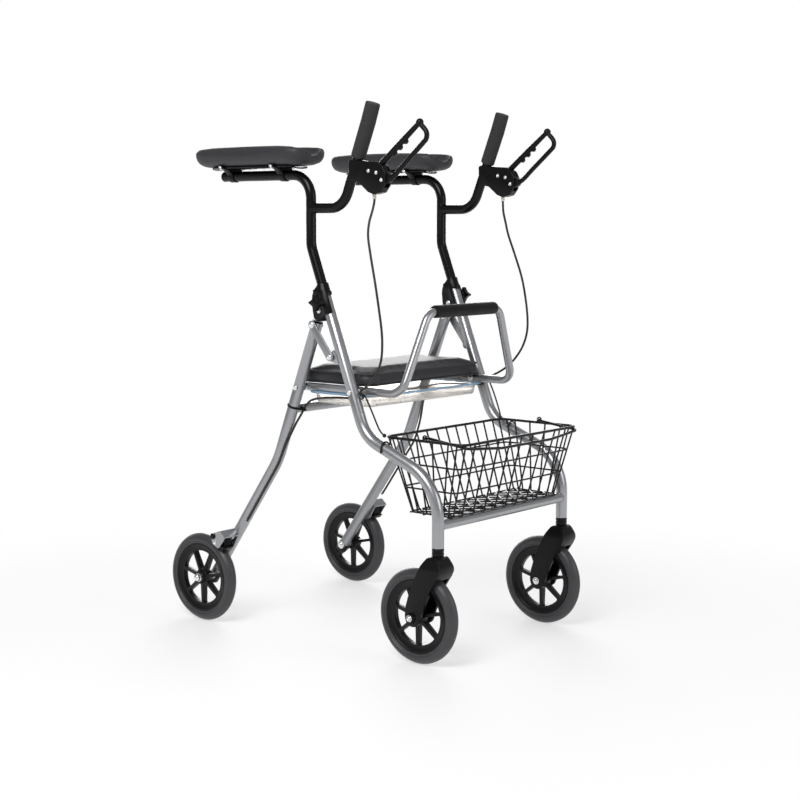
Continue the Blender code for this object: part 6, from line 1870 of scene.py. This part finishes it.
@dataclass
class Basket(Assembly):
    """The tapered wire basket with its hooks over the front legs, and the carrying bail."""

    rim_z: float = 0.46
    floor_z: float = 0.307
    rim_span: Pair = (-0.05, 0.157)
    floor_span: Pair = (-0.008, 0.103)
    rim_half: float = 0.203
    floor_half: float = 0.188
    wire: float = 0.0019
    rim_wire: float = 0.003
    columns: tuple[int, int, int] = (10, 12, 5)
    rows: int = 3
    lattice: float = 0.0375
    ear_radius: float = 0.0054
    ear_reach: float = 0.013
    ear_lift: float = 0.001
    ear_wire: float = 0.0016
    bail_pivot: Pair = (0.05, 0.4662)
    bail_half: float = 0.1955
    bail_corner: Pair = (-0.056, 0.453)
    bail_middle: Pair = (-0.0615, 0.4445)
    bail_wire: float = 0.003
    hook_y: float = 0.14

    def build(self) -> None:
        """Makes the frame wires, the four walls, the floor, the hooks and the bail."""
        body = "front_frame"
        self.fit(self._hoops(), "basket_hoops", Finishes.WIRE, body, angle=180)
        self.fit(self._wall(0), "basket_front", Finishes.WIRE, body, "basket_front", angle=180)
        self.fit(self._wall(1), "basket_back", Finishes.WIRE, body, "basket_back", angle=180)
        self.pair(self._flank(), "basket_side", Finishes.WIRE, body, "basket_side_*", angle=60)
        self.fit(self._floor(), "basket_floor", Finishes.WIRE, body, "basket_floor", angle=180)
        self.fit(self._bail(), "basket_bail", Finishes.WIRE, "basket_bail", "basket_bail", angle=180)

    def _place(self, across: float, along: float, down: float) -> Vector:
        """Returns a point of the basket's walls.

        Args:
            across: From -1 on the right to 1 on the left.
            along: From 0 at the front to 1 at the back.
            down: From 0 at the rim to 1 at the floor.
        """
        half = self.rim_half + (self.floor_half - self.rim_half) * down
        front = self.rim_span[0] + (self.floor_span[0] - self.rim_span[0]) * down
        back = self.rim_span[1] + (self.floor_span[1] - self.rim_span[1]) * down
        z = self.rim_z + (self.floor_z - self.rim_z) * down
        return side(front + (back - front) * along, z, across * half)

    def _hoop(self, down: float, wire: float, corner: float) -> Piece:
        """Returns a wire all round the basket.

        Args:
            down: Its level, from 0 at the rim to 1 at the floor.
            wire: Its radius.
            corner: Radius of its corners.
        """
        corners = [self._place(*spot, down) for spot in ((1, 0), (1, 1), (-1, 1), (-1, 0))]
        outline = rounded([(p.x, p.y) for p in corners], corner, 6)
        return hoop([Vector((x, y, corners[0].z)) for x, y in outline], wire)

    def _hoops(self) -> Piece:
        """Returns the rim, the bands and the floor's frame."""
        hoops = [self._hoop(0.0, self.rim_wire, 0.02)]
        hoops += [self._hoop(row / self.rows, self.wire, 0.018) for row in range(1, self.rows)]
        hoops.append(self._hoop(1.0, self.wire, 0.014))
        return join(hoops)

    def _wall(self, along: int) -> Piece:
        """Returns the upright wires of the front wall (0) or of the back wall (1)."""
        columns = self.columns[along]
        lean, curl = (0.0018, 0.01) if along == 0 else (-0.0018, -0.01)
        wires = []
        for index in range(columns + 1):
            across = (2 * index / columns - 1) * (0.955 if index in (0, columns) else 1.0)
            shift, turn_in = Vector((0, lean, 0)), Vector((0, curl, -0.0015))
            wires.append(self._upright(across, along, shift, turn_in, 0.005))
        return join(wires)

    def _upright(self, across: float, along: float, shift: Vector, curl: Vector, bend: float) -> Piece:
        """Returns an upright wire that turns in under the floor.

        Args:
            across: From -1 on the right to 1 on the left.
            along: From 0 at the front to 1 at the back.
            shift: How far beside the rim it stands.
            curl: Where its end lies from its foot.
            bend: Radius of the turn.
        """
        top, foot = (self._place(across, along, down) + shift for down in (0.0, 1.0))
        line = filleted([top, foot + Vector((0, 0, -0.0008)), foot + curl], (bend,), 15)
        return rod(line, self.wire, 2)

    def _flank(self) -> Piece:
        """Returns the upright wires of the left wall, the ear of the bail and the hook over the leg."""
        wires = []
        for index in range(self.columns[2] + 1):
            along = index / self.columns[2]
            along = 0.09 if index == 0 else 0.91 if index == self.columns[2] else along
            wires.append(self._upright(1, along, Vector((-0.0018, 0, 0)), Vector((-0.014, 0, -0.001)), 0.006))
        y, z = self.bail_pivot
        foot_z = self.rim_z + self.ear_lift
        eye = [(y + self.ear_reach, foot_z), *arc((y, z), self.ear_radius, -60, 240, 14),
               (y - self.ear_reach, foot_z)]
        wires.append(rod([side(*point, self.rim_half) for point in eye], self.ear_wire, 2))
        wires.append(self._leg_hook())
        return join(wires)

    def _leg_hook(self) -> Piece:
        """Returns the wire hook that goes over the front leg."""
        y = self.hook_y
        leg_z = FRONT_ANKLE[1] + y * (FRONT_KNEE[1] - FRONT_ANKLE[1]) / FRONT_KNEE[0]
        reach = LEG_RADIUS + 0.0021
        over = [side(y, z, x) for x, z in arc((TRACK, leg_z + 0.002), reach, 150, 0, 10)]
        line = smoothed([side(y, self.rim_z - 0.001, self.rim_half)] + over
                        + [side(y, leg_z - 0.006, TRACK + reach)], 0.003)
        return rod(line, 0.0018, 3)

    def _floor(self) -> Piece:
        """Returns the floor's slanting wires and the straight ones under them."""
        low, high = self.floor_span
        half = self.floor_half
        wires = []
        for slant in (1, -1):
            start = -half - (high - low)
            while start < half:
                ends = [(max(start, -half), low + max(0.0, -half - start)),
                        (min(start + high - low, half), low + min(high - low, half - start))]
                if ends[1][0] - ends[0][0] > 0.012:
                    level = self.floor_z + 0.0013 * slant
                    wires.append(rod([side(y, level, slant * x) for x, y in ends], 0.0018, 2))
                start += self.lattice
        for share in (0.33, 0.67):
            y = low + (high - low) * share
            ends = [side(y, self.floor_z - 0.003, sign * half) for sign in (-1, 1)]
            wires.append(rod(ends, self.wire, 2))
        return join(wires)

    def _bail(self) -> Piece:
        """Returns the carrying bail, with its ends through the ears and a sagging middle."""
        pin_x = self.rim_half + 0.005
        half = [side(*self.bail_pivot, pin_x), side(*self.bail_pivot, self.bail_half),
                side(*self.bail_corner, self.bail_half),
                side(*self.bail_middle, self.bail_half * 0.45)]
        line = filleted(both_sides(half), (0.0045, 0.012, 0.05, 0.05, 0.012, 0.0045), 9)
        return rod(line, self.bail_wire, 3)


@dataclass
class Trim(Assembly):
    """The small trim: bands that hold the cables on the rear legs, and the basket's hanger wires."""

    leg_radius: float = 0.0132
    cable_radius: float = 0.0031
    band: float = 0.0014
    rear_tie: tuple[Triple, ...] = ((0.222, 0.4013, 0.508), (0.2074, 0.3812, 0.5062))
    hanger: tuple[Triple, ...] = (
        (0.219, 0.216, 0.548), (0.2165, 0.202, 0.544), (0.215, 0.185, 0.515), (0.211, 0.166, 0.475),
        (0.204, 0.158, 0.4625))
    hanger_wire: float = 0.0018
    hanger_ball: float = 0.0042

    def build(self) -> None:
        """Makes the bands and the hangers on both sides."""
        lean = side(*LINK_TOP) - side(*REAR_PIVOT)
        self.pair(self._band(self.rear_tie, lean), "cable_tie", Finishes.MOULDED, "rear_frame")
        points = [side(y, z, x) for x, y, z in self.hanger]
        wire = rod(smoothed(points, 0.004), self.hanger_wire, 3)
        end = ball(points[-1], (self.hanger_ball,) * 3, 20)
        self.pair(join([wire, end]), "basket_hanger", Finishes.WIRE, "front_frame", angle=60)

    def _band(self, spots: Sequence[Sequence[float]], along: Vector) -> Piece:
        """Returns a band drawn tight round a leg and a cable.

        Args:
            spots: The middle of the leg and the middle of the cable.
            along: The way the leg runs.
        """
        leg, cable = (side(y, z, x) for x, y, z in spots)
        away = cable - leg
        axis = along.normalized()
        away -= axis * away.dot(axis)
        across = axis.cross(away).normalized()
        out = away.normalized()
        tilt = math.degrees(math.asin((self.leg_radius - self.cable_radius) / away.length))
        line = []
        for centre, radius, start, end in ((leg, self.leg_radius, 90 - tilt, 270 + tilt),
                                           (leg + away, self.cable_radius, -90 + tilt, 90 - tilt)):
            line += [centre + out * u + across * v for u, v in arc((0.0, 0.0), radius, start, end, 14)]
        return join([hoop([point + axis * shift for point in line], self.band)
                     for shift in (-0.0011, 0.0011)])


@dataclass
class BrakeCable(Assembly):
    """A brake cable: its free stretch down to the front leg, and its tied stretch on to the brake."""

    diameter: float = 0.005
    upper: tuple[Triple, ...] = (
        (0.222, 0.17, 0.952), (0.2225, 0.17, 0.945), (0.2265, 0.1715, 0.928),
        (0.236, 0.172, 0.904), (0.243, 0.169, 0.876), (0.249, 0.157, 0.837),
        (0.255, 0.14, 0.783), (0.2565, 0.129, 0.733), (0.2555, 0.122, 0.686),
        (0.253, 0.1225, 0.652), (0.2475, 0.131, 0.621), (0.242, 0.148, 0.594),
        (0.2375, 0.168, 0.5745), (0.234, 0.186, 0.5625), (0.232, 0.197, 0.557))
    lower: tuple[Triple, ...] = (
        (0.2314, 0.1984, 0.556), (0.227, 0.2055, 0.5505), (0.218, 0.2065, 0.544),
        (0.2095, 0.211, 0.5385), (0.2055, 0.22, 0.535), (0.2045, 0.235, 0.534),
        (0.2045, 0.26, 0.534), (0.2045, 0.3, 0.532), (0.2045, 0.34, 0.528),
        (0.205, 0.365, 0.5215), (0.207, 0.38, 0.509), (0.211, 0.388, 0.492),
        (0.218, 0.3985, 0.47), (0.225, 0.4085, 0.445), (0.231, 0.4215, 0.415),
        (0.233, 0.437, 0.38), (0.233, 0.4615, 0.345), (0.233, 0.4965, 0.296),
        (0.2325, 0.5285, 0.251), (0.2325, 0.538, 0.239))

    stiff_ends: int = 3
    seat_turn: tuple[int, int] = (8, 12)

    def build(self) -> None:
        """Lays the four cords."""
        for hand, sign in SIDES:
            self._lay("upper", self.upper, hand, sign, "arm_" + hand, "hanging")
            self._lay("lower", self.lower, hand, sign, "rear_frame", "taut")

    def _lay(self, part: str, route: Sequence[Sequence[float]], hand: str, sign: float, body: str,
             lay: str) -> None:
        """Args:
            part: Which stretch.
            route: Its route on the left side, from the frame's middle, the swivel axis and the floor.
            hand: Its side.
            sign: 1 on the left, -1 on the right.
            body: Not used.
            lay: Not used.
        """
        knots = [Vector((sign * x, y + KINGPIN.y, z)) for x, y, z in route]
        line = smoothed(knots, 0.004)
        name = f"brake_cable_{part}_{hand}"
        cord = self.fit(rod(line, self.diameter / 2, 4, smooth_ends=False), name, Finishes.CABLE, None, name)
        if part == "upper":
            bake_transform(cord)
        else:
            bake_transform(cord)


@dataclass(frozen=True)
class Stage:
    """The floor, the light and the camera at the photograph's angle."""

    camera_place: Triple = (-2.6851, -2.2985, 0.9051)
    yaw: float = -49.89
    pitch: float = 6.6
    roll: float = 0.07
    focal_pixels: float = 1577.4
    image_pixels: float = 800.0
    principal: Pair = (393.3, 404.5)
    floor_half: float = 12.0
    soft_strength: float = 0.38
    floor_share: float = 0.5
    floor_fade: Pair = (0.55, 1.5)
    wall_edge: Pair = (0.55, 0.85)

    def build(self) -> None:
        """Makes the stage."""
        self._floor()
        self._world()
        self._lamps()
        self._camera()

    def _floor(self) -> None:
        """Lays a pale floor that fades to the background away from the walker."""
        clear()
        bpy.ops.mesh.primitive_circle_add(vertices=96, radius=self.floor_half, fill_type="NGON")
        floor = settle("studio_floor")
        material = bpy.data.materials.new("studio_floor")
        material.use_nodes = True
        nodes = Nodes(material.node_tree)
        paint = material.node_tree.nodes["Principled BSDF"]
        nodes.feed(paint, {"Base Color": (0.93, 0.93, 0.93, 1), "Roughness": 0.7, "Specular IOR Level": 0.1})
        glow = nodes.add("Emission", {"Strength": 1.0})
        rays = nodes.add("LightPath").outputs
        seen = nodes.math("MAXIMUM", rays["Is Camera Ray"], rays["Is Glossy Ray"])
        seen = nodes.math("MAXIMUM", seen, rays["Is Transmission Ray"])
        away = nodes.add("VectorMath", {0: nodes.add("TexCoord").outputs["Object"]}, operation="LENGTH")
        fade = nodes.add("MapRange", {"Value": away.outputs["Value"], "From Min": self.floor_fade[0],
                                      "From Max": self.floor_fade[1], "To Min": self.floor_share},
                         interpolation_type="SMOOTHSTEP")
        mix = nodes.add("MixShader", {"Fac": nodes.math("MULTIPLY", fade.outputs["Result"], seen),
                                      1: paint.outputs["BSDF"], 2: glow.outputs["Emission"]})
        nodes.feed(material.node_tree.nodes["Material Output"], {"Surface": mix.outputs["Shader"]})
        floor.data.materials.append(material)

    def _world(self) -> None:
        """Gives soft light from all round, and a white background that gloss shows behind the walker."""
        world = bpy.data.worlds.new("studio")
        bpy.context.scene.world = world
        world.use_nodes = True
        world.node_tree.nodes.clear()
        nodes = Nodes(world.node_tree)
        rays = nodes.add("LightPath").outputs
        soft, white = (nodes.add("Background", {"Color": (1, 1, 1, 1), "Strength": strength})
                       for strength in (self.soft_strength, 1.0))
        yaw = math.radians(self.yaw)
        towards = nodes.add("VectorMath", {0: nodes.add("TexCoord").outputs["Generated"],
                                           1: (-math.sin(yaw), math.cos(yaw), 0.0)}, operation="DOT_PRODUCT")
        wall = nodes.add("MapRange", {"Value": towards.outputs["Value"], "From Min": self.wall_edge[0],
                                      "From Max": self.wall_edge[1]}, interpolation_type="SMOOTHSTEP")
        gloss = nodes.math("MULTIPLY", wall.outputs["Result"], rays["Is Glossy Ray"])
        seen = nodes.math("MAXIMUM", rays["Is Camera Ray"], rays["Is Transmission Ray"])
        mix = nodes.add("MixShader", {"Fac": nodes.math("MAXIMUM", seen, gloss),
                                      1: soft.outputs["Background"], 2: white.outputs["Background"]})
        nodes.add("OutputWorld", {"Surface": mix.outputs["Shader"]})

    def _lamps(self) -> None:
        """Hangs a large soft box above the camera's left, and weaker ones at its right and behind.

        The low one behind gives the seat the pale glare that it has in the photograph.
        """
        for name, place, size, power in (("key", (-2.3, -0.7, 2.6), 1.7, 66.0),
                                         ("fill", (0.4, -3.2, 1.5), 1.8, 22.0),
                                         ("back", (2.0, 2.2, 2.4), 2.0, 14.0),
                                         ("glare", (2.75, 2.3, 1.25), 2.2, 62.0)):
            clear()
            bpy.ops.object.light_add(type="AREA", location=place)
            lamp = bpy.context.object
            lamp.name = "lamp_" + name
            lamp.data.shape = "DISK"
            lamp.data.size = size
            lamp.data.energy = power
            aim = Vector((0, 0, 0.45)) - Vector(place)
            lamp.rotation_euler = aim.to_track_quat("-Z", "Y").to_euler()

    def _camera(self) -> None:
        """Stands the camera where the photograph was taken from."""
        clear()
        bpy.ops.object.camera_add(location=self.camera_place)
        camera = bpy.context.object
        yaw, pitch = math.radians(self.yaw), math.radians(self.pitch)
        back = Vector((math.sin(yaw) * math.cos(pitch), -math.cos(yaw) * math.cos(pitch), math.sin(pitch)))
        camera.rotation_mode = "QUATERNION"
        level = (-back).to_track_quat("-Z", "Y")
        camera.rotation_quaternion = level @ Matrix.Rotation(math.radians(self.roll), 3, "Z").to_quaternion()
        camera.data.sensor_width = 36.0
        camera.data.lens = self.focal_pixels / self.image_pixels * camera.data.sensor_width
        half = self.image_pixels / 2
        camera.data.shift_x = (half - self.principal[0]) / self.image_pixels
        camera.data.shift_y = (self.principal[1] - half) / self.image_pixels
        bpy.context.scene.camera = camera
        bpy.context.scene.view_settings.view_transform = "Standard"


def main() -> None:
    """Builds the stage, then the walker's pieces in order."""
    logging.basicConfig(level=logging.INFO, format="%(name)s: %(message)s")
    Stage().build()
    BrakeCable().build()
    Wheel(hub=REAR_HUB, name="rear", body="rear_roller_*").build()
    Wheel(hub=FRONT_HUB, name="front", body="front_roller_*").build()
    for assembly in (FrontFrame, Caster, RearFrame, FoldLink, SeatFrame, SeatCushion, Tray, ArmSupport,
                     BrakeControl, ForearmPad, LegClamp, Basket, Trim):
        assembly().build()


if __name__ == "__main__":
    main()
